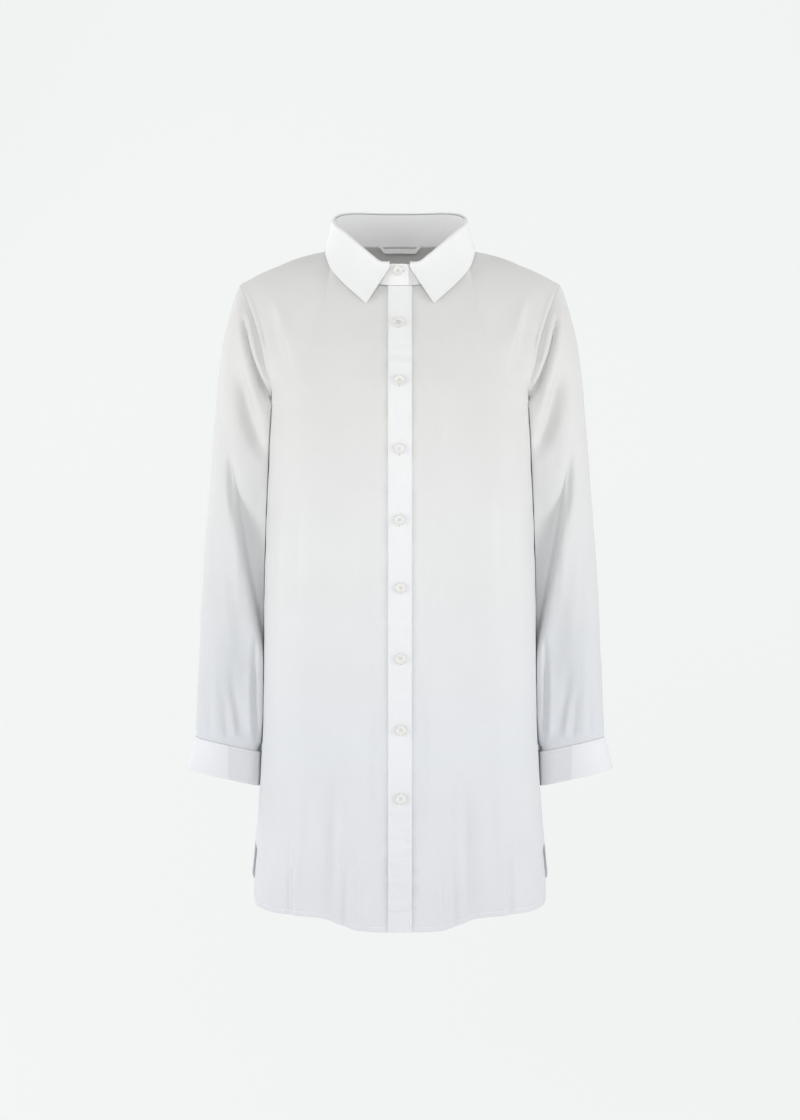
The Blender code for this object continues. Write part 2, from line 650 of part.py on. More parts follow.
def placket_grid():
    """The placket's strip down the centre front, made from the front's own points and moved out."""
    rows = row_heights()
    offsets = np.linspace(-1, 1, 3) * PLACKET_HALF_WIDTH
    heights = np.broadcast_to(rows[:, None], (len(rows), len(offsets)))
    angles = np.zeros(heights.shape)
    for _ in range(6):
        reached = body_point(angles, heights, False)[..., 0]
        rate = (body_point(angles + 0.1, heights, False)[..., 0] - reached) / 0.1
        angles = angles + (offsets[None, :] - reached) / rate
    normals = body_normal(angles, heights, False)
    points = body_point(angles, heights, False)
    points = points + normals * (BODY_WALL / 2 + GAP + PLACKET_WALL / 2)
    points[-1] -= unit(points[-1] - points[-2]) * 2 * GAP
    return points, normals


def loop_grid():
    """The hanging loop: a flat tape inside the back neck, its ends turned up into the neck seam."""
    shares = np.array([-1, -0.86, -0.72, 0, 0.72, 0.86, 1.0])
    droop = ease((1 - np.abs(shares)) / 0.28)
    seam = neck_ring(180 + np.degrees(np.arcsin(shares * LOOP_HALF_WIDTH / NECK_HALF_WIDTH)))
    inward = unit((seam - np.array([0, NECK_CENTRE_Y, 0])) * np.array([-1, -1, 0]))
    base = seam + inward * (BODY_WALL + 2 * GAP + LOOP_WALL / 2)
    low = base - np.array([0, 0, 0.0070]) * droop[:, None] - np.array([0, 0, 0.0008])
    points = np.stack([low, low + np.array([0, 0, LOOP_TAPE])])
    return points, np.stack([-inward, -inward])


def button_mesh(material):
    """A round button with a raised rim and a dished middle, its flat back at z = 0."""
    profile = (
        (0.0, 0.0),
        (0.93, 0.0),
        (1.0, 0.35),
        (0.95, 0.95),
        (0.80, 1.0),
        (0.64, 0.68),
        (0.0, 0.62),
    )
    vertices, faces = [(0, 0, 0)], []
    for radius, height in profile[1:-1]:
        for k in range(BUTTON_SEGMENTS):
            turn = 2 * math.pi * k / BUTTON_SEGMENTS
            r = radius * BUTTON_RADIUS
            vertices.append((r * math.cos(turn), r * math.sin(turn), height * BUTTON_HEIGHT))
    vertices.append((0, 0, profile[-1][1] * BUTTON_HEIGHT))
    rings = len(profile) - 2
    for k in range(BUTTON_SEGMENTS):
        after = (k + 1) % BUTTON_SEGMENTS
        faces.append((0, 1 + after, 1 + k))
        for ring in range(rings - 1):
            low = 1 + ring * BUTTON_SEGMENTS
            high = low + BUTTON_SEGMENTS
            faces.append((low + k, low + after, high + after, high + k))
        last = 1 + (rings - 1) * BUTTON_SEGMENTS
        faces.append((last + k, last + after, len(vertices) - 1))
    mesh = bpy.data.meshes.new("button")
    mesh.from_pydata(vertices, [], faces)
    mesh.shade_smooth()
    mesh.set_sharp_from_angle(angle=math.radians(40))
    mesh.materials.append(material)
    return mesh


def place_button(name, mesh, point, normal):
    """Sets a button on a surface point, its face along the normal."""
    button = bpy.data.objects.new(name, mesh)
    bpy.context.scene.collection.objects.link(button)
    button.rotation_mode = "QUATERNION"
    button.rotation_quaternion = Vector(normal.tolist()).to_track_quat("Z", "Y")
    button.location = Vector(point.tolist())
    return button


def cloth_material(name, color, roughness):
    material = bpy.data.materials.new(name)
    material.use_nodes = True
    shader = material.node_tree.nodes["Principled BSDF"]
    shader.inputs["Base Color"].default_value = (*color, 1)
    shader.inputs["Roughness"].default_value = roughness
    shader.inputs["Metallic"].default_value = 0
    return material


def make_body(cloth, armhole_walls):
    columns = column_angles()
    seam = SEAM_UNDER_PLACKET_DEG
    right = np.concatenate([[seam], columns[2:]])
    left = np.concatenate([[-seam + 2 * SIDE_SEAM_HALF_GAP_DEG], columns])
    points, normals = body_grid(right, False, armhole_walls)
    wall("front_right", mirrored(points), mirrored(normals), BODY_WALL, cloth, flip=True)
    points, normals = body_grid(left, False, armhole_walls)
    wall("front_left", points, normals, BODY_WALL, cloth)
    both = np.concatenate([-columns[:0:-1], columns])
    points, normals = body_grid(both, True, armhole_walls)
    wall("back", points, normals, BODY_WALL, cloth, flip=True)


def make_sleeves(cloth, firm_cloth, button):
    """Both sleeves with their cuffs and cuff buttons. Returns the wall directions at the armhole."""
    points, normals, armhole_walls = sleeve_grid()
    cuff, cuff_normals = cuff_grid()
    outer = len(cuff[0]) - 2
    spot, facing = cuff[CUFF_ROWS // 2, outer], cuff_normals[CUFF_ROWS // 2, outer]
    for side, turn in (("left", lambda v: v), ("right", mirrored)):
        flip = side == "left"
        wall("sleeve_" + side, turn(points), turn(normals), SLEEVE_WALL, cloth, closed=True, flip=flip)
        wall("cuff_" + side, turn(cuff), turn(cuff_normals), CUFF_WALL, firm_cloth, flip=flip)
        seat = spot + facing * (CUFF_WALL / 2 + GAP)
        place_button("button_cuff_" + side, button, turn(seat), turn(facing))
    return armhole_walls


def make_collar(firm_cloth, button):
    points, normals = band_grid()
    wall("collar_band", points, normals, BAND_WALL, firm_cloth, flip=True)
    points, normals = fall_grid()
    wall("collar_fall", points, normals, FALL_WALL, firm_cloth, flip=True)
    points, normals = loop_grid()
    wall("hanging_loop", points, normals, LOOP_WALL, firm_cloth)
    turn = -math.degrees(BAND_BUTTON.x / NECK_HALF_WIDTH)
    ends = mirrored(band_point(np.array([turn, turn]), np.array([0.0, 1.0]))[0])
    across = mirrored(band_point(np.array([turn + 1]), np.array([0.0]))[0])[0] - ends[0]
    facing = unit(np.cross(ends[1] - ends[0], across))
    middle = ends[0] + (ends[1] - ends[0]) * BAND_BUTTON.z
    place_button("button_1", button, middle + facing * (BAND_WALL / 2 + GAP), facing)


def make_placket(firm_cloth, button):
    points, normals = placket_grid()
    wall("placket", points, normals, PLACKET_WALL, firm_cloth)
    lift = BODY_WALL / 2 + GAP + PLACKET_WALL + GAP
    for number, spot in enumerate(PLACKET_BUTTONS, start=2):
        angle, height = place_on_front(spot.x, spot.z)
        point, normal = body_point(angle, height, False), body_normal(angle, height, False)
        place_button(f"button_{number}", button, point + normal * lift, normal)


def main():
    for thing in list(bpy.data.objects):
        bpy.data.objects.remove(thing)
    cloth = cloth_material("white_cloth", (0.80, 0.80, 0.80), 0.9)
    firm_cloth = cloth_material("white_firm_cloth", (0.88, 0.88, 0.88), 0.9)
    button = button_mesh(cloth_material("button_shell", (0.85, 0.84, 0.81), 0.3))
    armhole_walls = make_sleeves(cloth, firm_cloth, button)
    make_body(cloth, armhole_walls)
    make_collar(firm_cloth, button)
    make_placket(firm_cloth, button)


main()
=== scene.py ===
"""The look of a long white button-front shirt, hollow and filled out as if worn, in a pale studio.

Metres, +Z up, +X the wearer's left, -Y the front, in the same frame as the solids. Each cloth piece is a
thin shell on its solid's form, with the finer creases, seams, hems and stitches added.
"""

import math
import random
from collections import namedtuple

import bmesh
import bpy
import numpy as np
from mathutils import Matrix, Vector


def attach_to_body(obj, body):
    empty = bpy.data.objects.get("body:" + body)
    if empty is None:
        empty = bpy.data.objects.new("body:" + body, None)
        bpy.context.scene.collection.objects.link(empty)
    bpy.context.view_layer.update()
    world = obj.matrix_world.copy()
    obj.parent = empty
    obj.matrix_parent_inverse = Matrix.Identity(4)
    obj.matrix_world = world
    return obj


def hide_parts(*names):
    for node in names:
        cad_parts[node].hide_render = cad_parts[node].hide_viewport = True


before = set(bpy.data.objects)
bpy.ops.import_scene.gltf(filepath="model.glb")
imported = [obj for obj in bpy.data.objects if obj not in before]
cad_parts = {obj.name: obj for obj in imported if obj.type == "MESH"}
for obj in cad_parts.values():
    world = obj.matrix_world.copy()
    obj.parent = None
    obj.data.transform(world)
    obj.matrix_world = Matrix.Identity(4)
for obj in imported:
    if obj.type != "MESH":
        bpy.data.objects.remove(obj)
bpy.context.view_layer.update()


def named_rows(kind, plain, table):
    """The rows of a table whose columns, apart from the plain ones, are in millimetres."""
    units = [1 if column in plain.split() else 1000 for column in kind._fields]
    return [kind(*(value and value / unit for value, unit in zip(row, units))) for row in table]


# Cloth
BODY_CLOTH = 0.0005
SLEEVE_CLOTH = 0.0005
CUFF_CLOTH = 0.0016
BAND_CLOTH = 0.0013
FALL_CLOTH = 0.0013
PLACKET_CLOTH = 0.0010
PLACKET_LIFT = 0.0015
PLACKET_SHORT = 0.0004
LOOP_CLOTH = 0.0008
SEAM_GAP = 0.00012
HEM = 0.0066
HEM_STITCH = HEM - 0.0008
EDGE_STITCH = 0.0020
STITCH_LIFT = 0.0001
HEM_RISE = 0.00045
ARMHOLE_RIDGE = 0.0007
SEAM_RIDGE = 0.0004
BODY_CRUMPLE = 0.00035
SLEEVE_CRUMPLE = 0.00045
CUFF_CRUMPLE = 0.00025
PLACKET_CRUMPLE = 0.00012
# Folds end before the side seams, low on the body and above the armpit, and from the placket over a width
FOLD_FADE_DEG = (14, 3.5)
PLACKET_FADE_DEG = (5.2, 7)
CRUMPLE_FADE_DEG = 5
SLEEVE_SIDE_FADE_DEG = 18

# Body, as in the solids
ARMPIT_Z = -0.190
SQUARENESS = 2.3
NECK_COLUMN_DEG = 42.0
SEAM_UNDER_PLACKET_DEG = 3.6
VENT_TOP_Z = -0.730
VENT_TUCK = 0.034
VENT_TUCK_HEIGHT = 0.016
VENT_TUCK_POWER = 6
SOLID_WALL = 0.0012
SOLID_GAP = 0.0003
SOLID_PLACKET = 0.0014
SOLID_BAND = 0.0016
SOLID_CUFF = 0.0018

Section = namedtuple("Section", "z half_width front back")
BODY = named_rows(Section, "", (
    (-880, 192, 131, 116), (-800, 186.5, 129, 111), (-730, 180, 127, 106), (-660, 174.2, 125, 101),
    (-560, 170, 122.5, 97), (-430, 169.2, 120.5, 95), (-320, 166.2, 119.5, 96), (-250, 164, 117.5, 99),
    (-190, 163, 112, 100),
))
Hem = namedtuple("Hem", "angle z")
FRONT_HEM = named_rows(Hem, "angle", (
    (0, -830.5), (8, -830.3), (15, -828.7), (23, -821.5), (29, -815.5), (36, -813.5), (52, -812), (66, -808),
    (71, -804), (75, -795), (90, -790),
))
BACK_HEM = named_rows(Hem, "angle", (
    (0, -822), (20, -819), (40, -809), (60, -795), (75, -784.5), (84, -778), (90, -770),
))
Vent = namedtuple("Vent", "z angle")
FRONT_VENT = named_rows(Vent, "angle", (
    (-830, 73.5), (-790, 75.5), (-755, 82), (-728, 90), (0, 90),
))
BACK_VENT = named_rows(Vent, "angle", (
    (-830, 88), (-790, 88.5), (-755, 89.5), (-728, 90), (0, 90),
))
Armhole = namedtuple("Armhole", "rise x_front y_front x_back y_back z")
ARMHOLE = named_rows(Armhole, "rise", (
    (0, 163, -0.2, 163, 0.1, -190), (0.03, 161, -12, 161.5, 11, -189), (0.08, 158.8, -23, 160, 21, -184.5),
    (0.15, 157.8, -33, 159.2, 30, -175), (0.24, 161, -41, 161.5, 37, -160),
    (0.35, 166.8, -44.5, 166.5, 40, -140), (0.48, 171.5, -42, 172, 38.5, -115),
    (0.62, 178.5, -34, 179, 32, -91), (0.76, 186.2, -22.5, 186.5, 21.5, -69),
    (0.89, 193.5, -10.5, 193.5, 10.5, -51), (1, 199.5, -0.2, 199.5, 0.1, -38.4),
))
ARMHOLE_REACH_DEG = 55.0
# The half width, half depth and middle of the neck seam and of the collar's fold
NECK_HALF_WIDTH, NECK_CENTRE_Y = 0.0840, -0.0050
NECK_RING = (NECK_HALF_WIDTH, 0.0550, NECK_CENTRE_Y)
FOLD_RING = (0.0815, 0.0520, -0.0030)
Neck = namedtuple("Neck", "angle seam fold")
NECK = named_rows(Neck, "angle", (
    (0, -46, -18), (14, -45, -17.5), (27, -38.5, -6), (40, -29, 7.5), (60, -13, 25), (79, 1, 35),
    (90, 6, 40.5), (105, 9, 47), (120, 11, 51.5), (142, 13, 54.5), (180, 14, 55),
))
NECK_SEAM_DEG = 85.0
Shoulder = namedtuple("Shoulder", "x z")
SHOULDER = named_rows(Shoulder, "", (
    (84, 6.2), (99, 3), (128, -4.4), (155, -14.5), (174, -22.5), (199.5, -36),
))
SHOULDER_X = (0.0840, 0.1995)
SEAM_DROP = 0.0024
SHOULDER_SEAM_Y = (-0.0098, 0.0000)
Slope = namedtuple("Slope", "angle front back")
TOP_SLOPE = named_rows(Slope, "angle front back", (
    (0, 66, 58), (22, 60, 48), (36, 50, 22), (42, 44, 2), (52, 34, -20), (66, 28, -28), (90, 28, -28),
))

# Sleeve and cuff, as in the solids
Ring = namedtuple("Ring", "station x_out z_out x_in z_in y_mid half_depth")
SLEEVE = named_rows(Ring, "station", (
    (0, 199, -38, 163.3, -189, -2, 43), (0.022, 203, -46.5, 164.8, -189.3, 0, 47.5),
    (0.05, 207.8, -59, 164.6, -195.5, 3, 50), (0.1, 215.7, -85, 164, -209.5, 10, 53),
    (0.17, 224, -120, 163.5, -233, 19, 55), (0.27, 230.5, -175, 163, -272, 26, 56),
    (0.38, 236, -240, 162.8, -318, 30, 56), (0.5, 241.5, -311, 163.2, -370, 31, 54.5),
    (0.62, 247, -384, 164.5, -426, 30, 52), (0.74, 250.8, -458, 166.5, -487, 27, 48),
    (0.87, 254, -537.5, 169.5, -557, 22, 43), (0.96, 256.2, -591, 172.2, -608, 18.5, 37.5),
    (0.985, 253.5, -601.8, 176.6, -619.3, 18, 31.8), (1, 254.1, -609, 176.8, -626.5, 18, 31.6),
))
ARMHOLE_RISES = (0.0, 0.015, 0.035, 0.065, 0.105, 0.16, 0.24, 0.35, 0.48, 0.62, 0.76, 0.89, 1.0)
SEAM_REACH = 0.16
INNER_SQUARENESS = 2.8
FRONT_INNER_SQUARENESS = 4.6
OUTER_SQUARENESS = 2.15
BESIDE_BODY = 0.0009
BESIDE_SOFTNESS = 0.0016
BESIDE_START_Z = -0.1905
BESIDE_SPAN = 0.0070
HUG = 0.0075
CUFF_PUFF = 0.0027
PUFF_STATION, PUFF_ABOVE, PUFF_BELOW = 0.9850, 0.0120, 0.0065
CUFF_CURL = 0.0009
CUFF_TOP = Ring(0.0, 0.2562, -0.6037, 0.1736, -0.6214, 0.0180, 0.0350)
CUFF_END = Ring(1.0, 0.2660, -0.6440, 0.1749, -0.6640, 0.0180, 0.0300)
CUFF_LAP_DEG = 34.0
CUFF_CLOSING_DEG = 222.0
CUFF_LIFT = 0.0022

# Collar, loop and buttons, as in the solids
Fall = namedtuple("Fall", "angle x z y")
FALL_EDGE = named_rows(Fall, "angle", (
    (8.5, 41.7, -69.2, None), (20, 54.5, -57, None), (34, 68.2, -44, None), (50, 83, -25, None),
    (64, 89.5, -13, None), (78, 92.5, 1, -15), (92, 92.5, 9, 5), (108, 87, 12, 27), (130, 68, 10.5, 50),
    (155, 36, 8, 64), (180, 0, 7, 67),
))
FALL_LIFT = 0.0030
FALL_ROLL = ((-0.0004, 0.0018), (0.0018, 0.0020), (0.0034, 0.0000), (0.0042, -0.0045))
BAND_LAP = 0.0021
BAND_LAP_DEG = 7.2
BAND_LIFT = 0.0010
BAND_RADIUS = 0.083
BAND_HEIGHT = 0.0275
BAND_CORNER = 0.0055
PLACKET_HALF_WIDTH = 0.0144
LOOP_HALF_WIDTH = 0.0275
LOOP_TAPE = 0.0060
LOOP_DROOP = 0.0070
LOOP_DROP = 0.0008
BUTTON_RADIUS = 0.00635
BUTTON_HEIGHT = 0.0026
Button = namedtuple("Button", "x z")
BAND_BUTTON = Button(-0.0026, 0.66)
PLACKET_BUTTONS = named_rows(Button, "", (
    (-1.8, -93), (-0.6, -165), (-0.6, -248), (-0.6, -333.7), (0.6, -415.8), (0.6, -501.4), (1.2, -587.6),
    (1.2, -670),
))

# Folds and creases seen from the front, soft troughs (negative) and ridges, each with a sideways bow
COLUMNS = "x_top z_top x_low z_low outer inner height bow start end"
Fold = namedtuple("Fold", COLUMNS, defaults=(0.0, 0.45, 0.45))
SLEEVE_FRONT = named_rows(Fold, "start end", (
    (195, -66, 156, -192, 2.8, 3.6, -8.8, 9, 0.3, 0.25), (193, -50, 169, -214, 8, 6.5, 4.6, 9, 0.5, 0.35),
    (187, -80, 166, -170, 5, 4, 1.6, 4), (203, -130, 164, -262, 11, 8, -10, 4, 0.4, 0.3),
    (214, -100, 211, -240, 6, 8, 1.8, 0), (212, -246, 160, -535, 2, 15, -11, 1, 0.4, 0.22),
    (183, -256, 164, -520, 23, 20, -10, 0, 0.35, 0.3), (212, -236, 201, -350, 3.4, 11, -6, 4, 0.4, 0.5),
    (220.5, -255, 169, -528, 13, 4.5, 7.8, 0, 0.45, 0.22), (204, -330, 196, -470, 6, 5, 1.4, 2),
    (233, -300, 218, -520, 9, 7, -1.6, 2), (223, -100, 226, -255, 1.6, 2.2, -1, 0),
    (178, -470, 177, -612, 4, 2.2, -3, 3, 0.2, 0.15), (185, -500, 184, -612, 5, 4, 2.4, 2, 0.3, 0.2),
    (210, -500, 193, -606, 6, 7, -2.2, 4, 0.5, 0.2), (211, -540, 205, -606, 4, 3.5, 1.2, 0, 0.5, 0.15),
    (221, -535, 215, -606, 3.5, 5, -1.5, 0, 0.5, 0.15), (229, -480, 227, -606, 5, 4, 1, 1, 0.5, 0.15),
    (238, -530, 238, -606, 4, 4, -1.6, 0, 0.5, 0.15),
))
SLEEVE_BACK = named_rows(Fold, "start end", (
    (210, -70, 172, -190, 9, 8, -3.8, 4), (220, -120, 176, -270, 11, 10, -4.2, -3),
    (227, -240, 180, -360, 10, 12, 3.5, 4), (234, -290, 182, -395, 7, 10, -5, 3),
    (238, -330, 188, -440, 8, 8, -3.6, -2), (220, -440, 215, -600, 6, 8, -3, 2),
    (236, -500, 234, -602, 5, 5, 2, 0), (201, -500, 198, -602, 5, 6, -2.6, 0),
))
FRONT = named_rows(Fold, "start end", (
    (160, -48, 129, -160, 5.5, 11, 5.2, -4.3), (162, -70, 138, -170, 9, 8, -3.2, -2),
    (194.5, -44, 168.5, -126, 2.6, 4.4, 5.4, 1, 0.3, 0.2), (24, -460, 25, -800, 18, 14, -5.5, 0),
    (111, -600, 123, -900, 14, 12, 6.2, 0), (80, -580, 86, -900, 14, 12, -6.5, 0),
    (52, -190, 45, -300, 7, 9, -1.6, 3), (118, -270, 127, -470, 7, 6, -1.8, 2),
    (144, -240, 150, -560, 8, 7, 2, -2), (31, -440, 17, -482, 2.4, 3, -1.3, 0),
    (65, -350, 33, -470, 6, 8, -1.5, -4), (131, -690, 135, -880, 3, 5, -3.6, 1),
    (124, -710, 127, -880, 3, 4, 1.8, 0), (62, -700, 67, -890, 4.5, 6, -3, 2),
    (50, -720, 52, -890, 5, 6, 2.7, -1), (160, -640, 168, -860, 6, 8, -1.8, 1),
))
BACK = named_rows(Fold, "start end", (
    (90, -100, 98, -440, 20, 16, 5, 0), (52, -300, 56, -950, 22, 18, -8.5, 0),
    (118, -430, 128, -950, 20, 16, -7, 0), (150, -70, 118, -210, 8, 9, -3.4, 4),
    (30, -40, 36, -240, 8, 9, 1.8, 2), (85, -480, 90, -880, 8, 10, 4, -3),
    (20, -520, 18, -900, 9, 8, 3.8, 2), (150, -600, 158, -880, 6, 7, -3.4, 1),
    (102, -360, 70, -420, 5, 7, -1.4, 0),
))
Ripple = namedtuple("Ripple", "z height half_length tilt")
PLACKET_RIPPLES = named_rows(Ripple, "tilt", (
    (-121, -0.35, 5, 0.1), (-133, -0.5, 4, -0.15), (-143, 0.35, 4, 0.05), (-208, -0.3, 6, 0.08),
    (-290, -0.3, 6, -0.06), (-374, -0.35, 5, 0.12), (-460, -0.4, 5.5, -0.1), (-548, -0.4, 4.5, 0.12),
    (-630, -0.45, 5, -0.1), (-694, 0.9, 3.6, 0.1), (-708, 0.6, 3, 0.2), (-721, 1.3, 4.2, -0.14),
    (-740, 1.1, 3.4, 0.24), (-757, 1.5, 4.6, 0.02), (-777, 1.2, 3.8, -0.1), (-789, 0.8, 2.6, 0.12),
    (-796.5, -0.5, 3, 0), (-802.5, 1.1, 1.6, 0.06), (-805.5, -1.1, 1.4, 0.06),
))


def read(rows, key, column, at):
    """A column of a table at values of its key column, on a smooth curve that never overshoots a row."""
    table = sorted(rows, key=lambda row: getattr(row, key))
    x = np.array([getattr(row, key) for row in table], float)
    y = np.array([getattr(row, column) for row in table], float)
    step = np.diff(x)
    rate = np.diff(y) / step
    slope = np.concatenate([rate[:1], np.zeros(len(x) - 2), rate[-1:]])
    product = rate[:-1] * rate[1:]
    turning = product > 0
    slope[1:-1][turning] = 2 * product[turning] / (rate[:-1] + rate[1:])[turning]
    at = np.asarray(at, float)
    i = np.clip(np.searchsorted(x, at) - 1, 0, len(step) - 1)
    share = np.clip((at - x[i]) / step[i], 0, 1)
    return hermite(y[i], slope[i] * step[i], y[i + 1], slope[i + 1] * step[i], share)


def hermite(start, start_tangent, end, end_tangent, share):
    """A cubic from start to end with the tangents given."""
    square, cube = share**2, share**3
    return (
        (2 * cube - 3 * square + 1) * start
        + (cube - 2 * square + share) * start_tangent
        + (3 * square - 2 * cube) * end
        + (cube - square) * end_tangent
    )


def ease(share):
    share = np.clip(share, 0, 1)
    return share * share * (3 - 2 * share)


def bell(distance, width):
    """A smooth bump, 1 high in its middle."""
    return np.exp(-((distance / width) ** 2))


def spans(start, *runs):
    """Even steps from a start over several runs, each a count of points and the value that it ends at."""
    values = [np.array([float(start)])]
    for count, end in runs:
        values.append(np.linspace(values[-1][-1], end, count)[1:])
    return np.concatenate(values)


def unit(vectors):
    return vectors / np.maximum(np.linalg.norm(vectors, axis=-1, keepdims=True), 1e-12)


def mirrored(vectors):
    return vectors * np.array([-1.0, 1.0, 1.0])


def rounded(degrees, squareness):
    """The two coordinates of a unit superellipse in the direction of an angle from its second axis."""
    angle = np.radians(degrees)
    sine, cosine = np.sin(angle), np.cos(angle)
    radius = (np.abs(sine) ** squareness + np.abs(cosine) ** squareness) ** (-1 / squareness)
    return sine * radius, cosine * radius


def neck_ring(degrees, fold=False):
    """The neck seam or the collar's fold, by angle from the centre front, positive to the wearer's left."""
    angle = np.radians(degrees)
    turn = np.abs((np.asarray(degrees, float) + 180) % 360 - 180)
    width, depth, centre = FOLD_RING if fold else NECK_RING
    height = read(NECK, "angle", "fold" if fold else "seam", turn)
    return np.stack([width * np.sin(angle), centre - depth * np.cos(angle), height], -1)


def level_ring(angle, z, back):
    """The body at height z, by angle from the centre line of the front or of the back."""
    across, along = rounded(angle, SQUARENESS)
    depth = read(BODY, "z", "back", z) if back else -read(BODY, "z", "front", z)
    width = read(BODY, "z", "half_width", z)
    if not back:
        beside_vent = ease((VENT_TOP_Z - z) / VENT_TUCK_HEIGHT) * (np.abs(angle) / 90) ** VENT_TUCK_POWER
        width = width * (1 - VENT_TUCK * beside_vent)
    return np.stack([width * across, depth * along, z + 0 * across], -1)


def top_edge(angle, back):
    """The neck edge and then the shoulder seam, by angle from the centre line."""
    turn = np.abs(angle)
    share = np.clip(turn / NECK_COLUMN_DEG, 0, 1)
    neck_angle = 180 - (180 - NECK_SEAM_DEG) * share if back else NECK_SEAM_DEG * share
    seam_share = np.clip((turn - NECK_COLUMN_DEG) / (90 - NECK_COLUMN_DEG), 0, 1)
    x = SHOULDER_X[0] + (SHOULDER_X[1] - SHOULDER_X[0]) * seam_share
    y = SHOULDER_SEAM_Y[0] + (SHOULDER_SEAM_Y[1] - SHOULDER_SEAM_Y[0]) * seam_share
    seam = np.stack([x, y, read(SHOULDER, "x", "z", x) - SEAM_DROP], -1)
    edge = np.where((turn <= NECK_COLUMN_DEG)[..., None], neck_ring(neck_angle), seam)
    edge[..., 0] *= np.sign(angle)
    return edge


def strings(angle, share, back):
    """The cloth above the armpit row, a smooth string at each angle up to the neck or the shoulder seam."""
    start = level_ring(angle, np.full(angle.shape, ARMPIT_Z), back)
    below = level_ring(angle, np.full(angle.shape, ARMPIT_Z - 0.02), back)
    end = top_edge(angle, back)
    length = np.linalg.norm(end - start, axis=-1, keepdims=True)
    slope = np.radians(read(TOP_SLOPE, "angle", "back" if back else "front", np.abs(angle)))
    forward = -1 if back else 1
    end_direction = np.stack([0 * slope, forward * np.cos(slope), np.sin(slope)], -1)
    return hermite(start, unit(start - below) * length, end, end_direction * length, share[..., None])


def armhole_seam(rise, back):
    """The armhole seam on the wearer's left, for the front or for the back."""
    side = "back" if back else "front"
    return np.stack([read(ARMHOLE, "rise", column, rise) for column in ("x_" + side, "y_" + side, "z")], -1)


def body_base(angle, height, back):
    """The body's cloth without folds. Height runs from the hem (0) by the armpit row (1) to the top (2)."""
    angle, height = np.broadcast_arrays(np.asarray(angle, float), np.asarray(height, float))
    turn = np.abs(angle)
    hem = read(BACK_HEM if back else FRONT_HEM, "angle", "z", turn)
    low = level_ring(angle, hem + (ARMPIT_Z - hem) * np.minimum(height, 1), back)
    share = np.clip(height - 1, 0, 1)
    high = strings(angle, share, back)
    side = np.full(angle.shape, 90.0)
    pull = armhole_seam(share, back) - strings(side, share, back)
    pull = pull * (np.clip(1 - (90 - turn) / ARMHOLE_REACH_DEG, 0, 1) ** 2)[..., None]
    pull[..., 0] *= np.sign(angle)
    return np.where((height <= 1)[..., None], low, high + pull)


def fold_height(folds, x, z):
    """The sum of the folds' heights at places seen from the front, each wider on its inner or outer side."""
    total = 0 * x
    for fold in folds:
        run = np.array([fold.x_low - fold.x_top, fold.z_low - fold.z_top])
        length = np.hypot(*run)
        along = ((x - fold.x_top) * run[0] + (z - fold.z_top) * run[1]) / length**2
        outward = ((z - fold.z_top) * run[0] - (x - fold.x_top) * run[1]) / length
        outward = outward - fold.bow * 4 * np.clip(along, 0, 1) * (1 - np.clip(along, 0, 1))
        width = np.where(outward > 0, fold.outer, fold.inner)
        ends = ease(along / fold.start) * ease((1 - along) / fold.end)
        total = total + fold.height * bell(outward, width) * ends
    return total


def crumple(u, v, size, seed):
    """A soft uneven surface, the sum of a few long and short waves in different directions."""
    dice = random.Random(seed)
    total = 0 * u
    for length, share in ((0.090, 1.0), (0.052, 0.7), (0.031, 0.45), (0.019, 0.28)):
        for _ in range(3):
            turn, phase = dice.uniform(0, math.pi), dice.uniform(0, 2 * math.pi)
            wave = 2 * math.pi / (length * dice.uniform(0.8, 1.25))
            total = total + share * np.sin(wave * (u * math.cos(turn) + v * math.sin(turn)) + phase)
    return total * size / 3


def grid_normals(points, closed):
    """Normals of a grid of points from its own neighbours, to the left of its rows as they run down."""
    if closed:
        across = np.roll(points, -1, 1) - np.roll(points, 1, 1)
    else:
        across = np.gradient(points, axis=1)
    return unit(np.cross(np.gradient(points, axis=0), across))


def arc(points, axis, backward=False):
    """Distance along the grid from its first row or column, or from its last."""
    steps = np.linalg.norm(np.diff(points, axis=axis), axis=-1)
    if backward:
        steps = np.flip(steps, axis)
    start = np.zeros_like(np.take(points[..., 0], [0], axis))
    total = np.concatenate([start, np.cumsum(steps, axis)], axis)
    return np.flip(total, axis) if backward else total


def double_edge(distance, width, height):
    """The rise of a cloth edge folded over and sewn down along its inner side."""
    rise = height * ease((width + 0.0008 - distance) / 0.0010) * ease(distance / 0.0006)
    return rise - 0.6 * height * bell(distance - width + 0.0006, 0.0006)


def nearest_edge(points, low=True):
    """Distance along the cloth to the nearest edge of its grid, the first row among them if low is set."""
    edges = [(0, True), (1, False), (1, True)] + [(0, False)] * low
    return np.min([arc(points, axis, backward) for axis, backward in edges], axis=0)


def sewn_edge(near, ridge, groove, ridge_width=0.0009, groove_width=0.0006):
    """The height of a turned edge: a ridge along it and a groove at its line of stitches."""
    return ridge * bell(near - 0.0009, ridge_width) - groove * bell(near - EDGE_STITCH, groove_width)


def mesh_object(name, vertices, faces, material, uvs=None, smooth=50):
    mesh = bpy.data.meshes.new(name)
    mesh.from_pydata(np.asarray(vertices).tolist(), [], faces)
    if uvs is not None:
        layer = mesh.uv_layers.new(name="UVMap")
        index = np.empty(len(mesh.loops), np.int32)
        mesh.loops.foreach_get("vertex_index", index)
        layer.data.foreach_set("uv", uvs[index].astype(np.float32).ravel())
    mesh.shade_smooth()
    mesh.set_sharp_from_angle(angle=math.radians(smooth))
    mesh.materials.append(material)
    thing = bpy.data.objects.new(name, mesh)
    bpy.context.scene.collection.objects.link(thing)
    return thing


def attach(thing, solid=None):
    """Joins a piece to the shirt's one body and in place of a solid if one is given."""
    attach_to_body(thing, "root")
    if solid:
        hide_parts(solid)


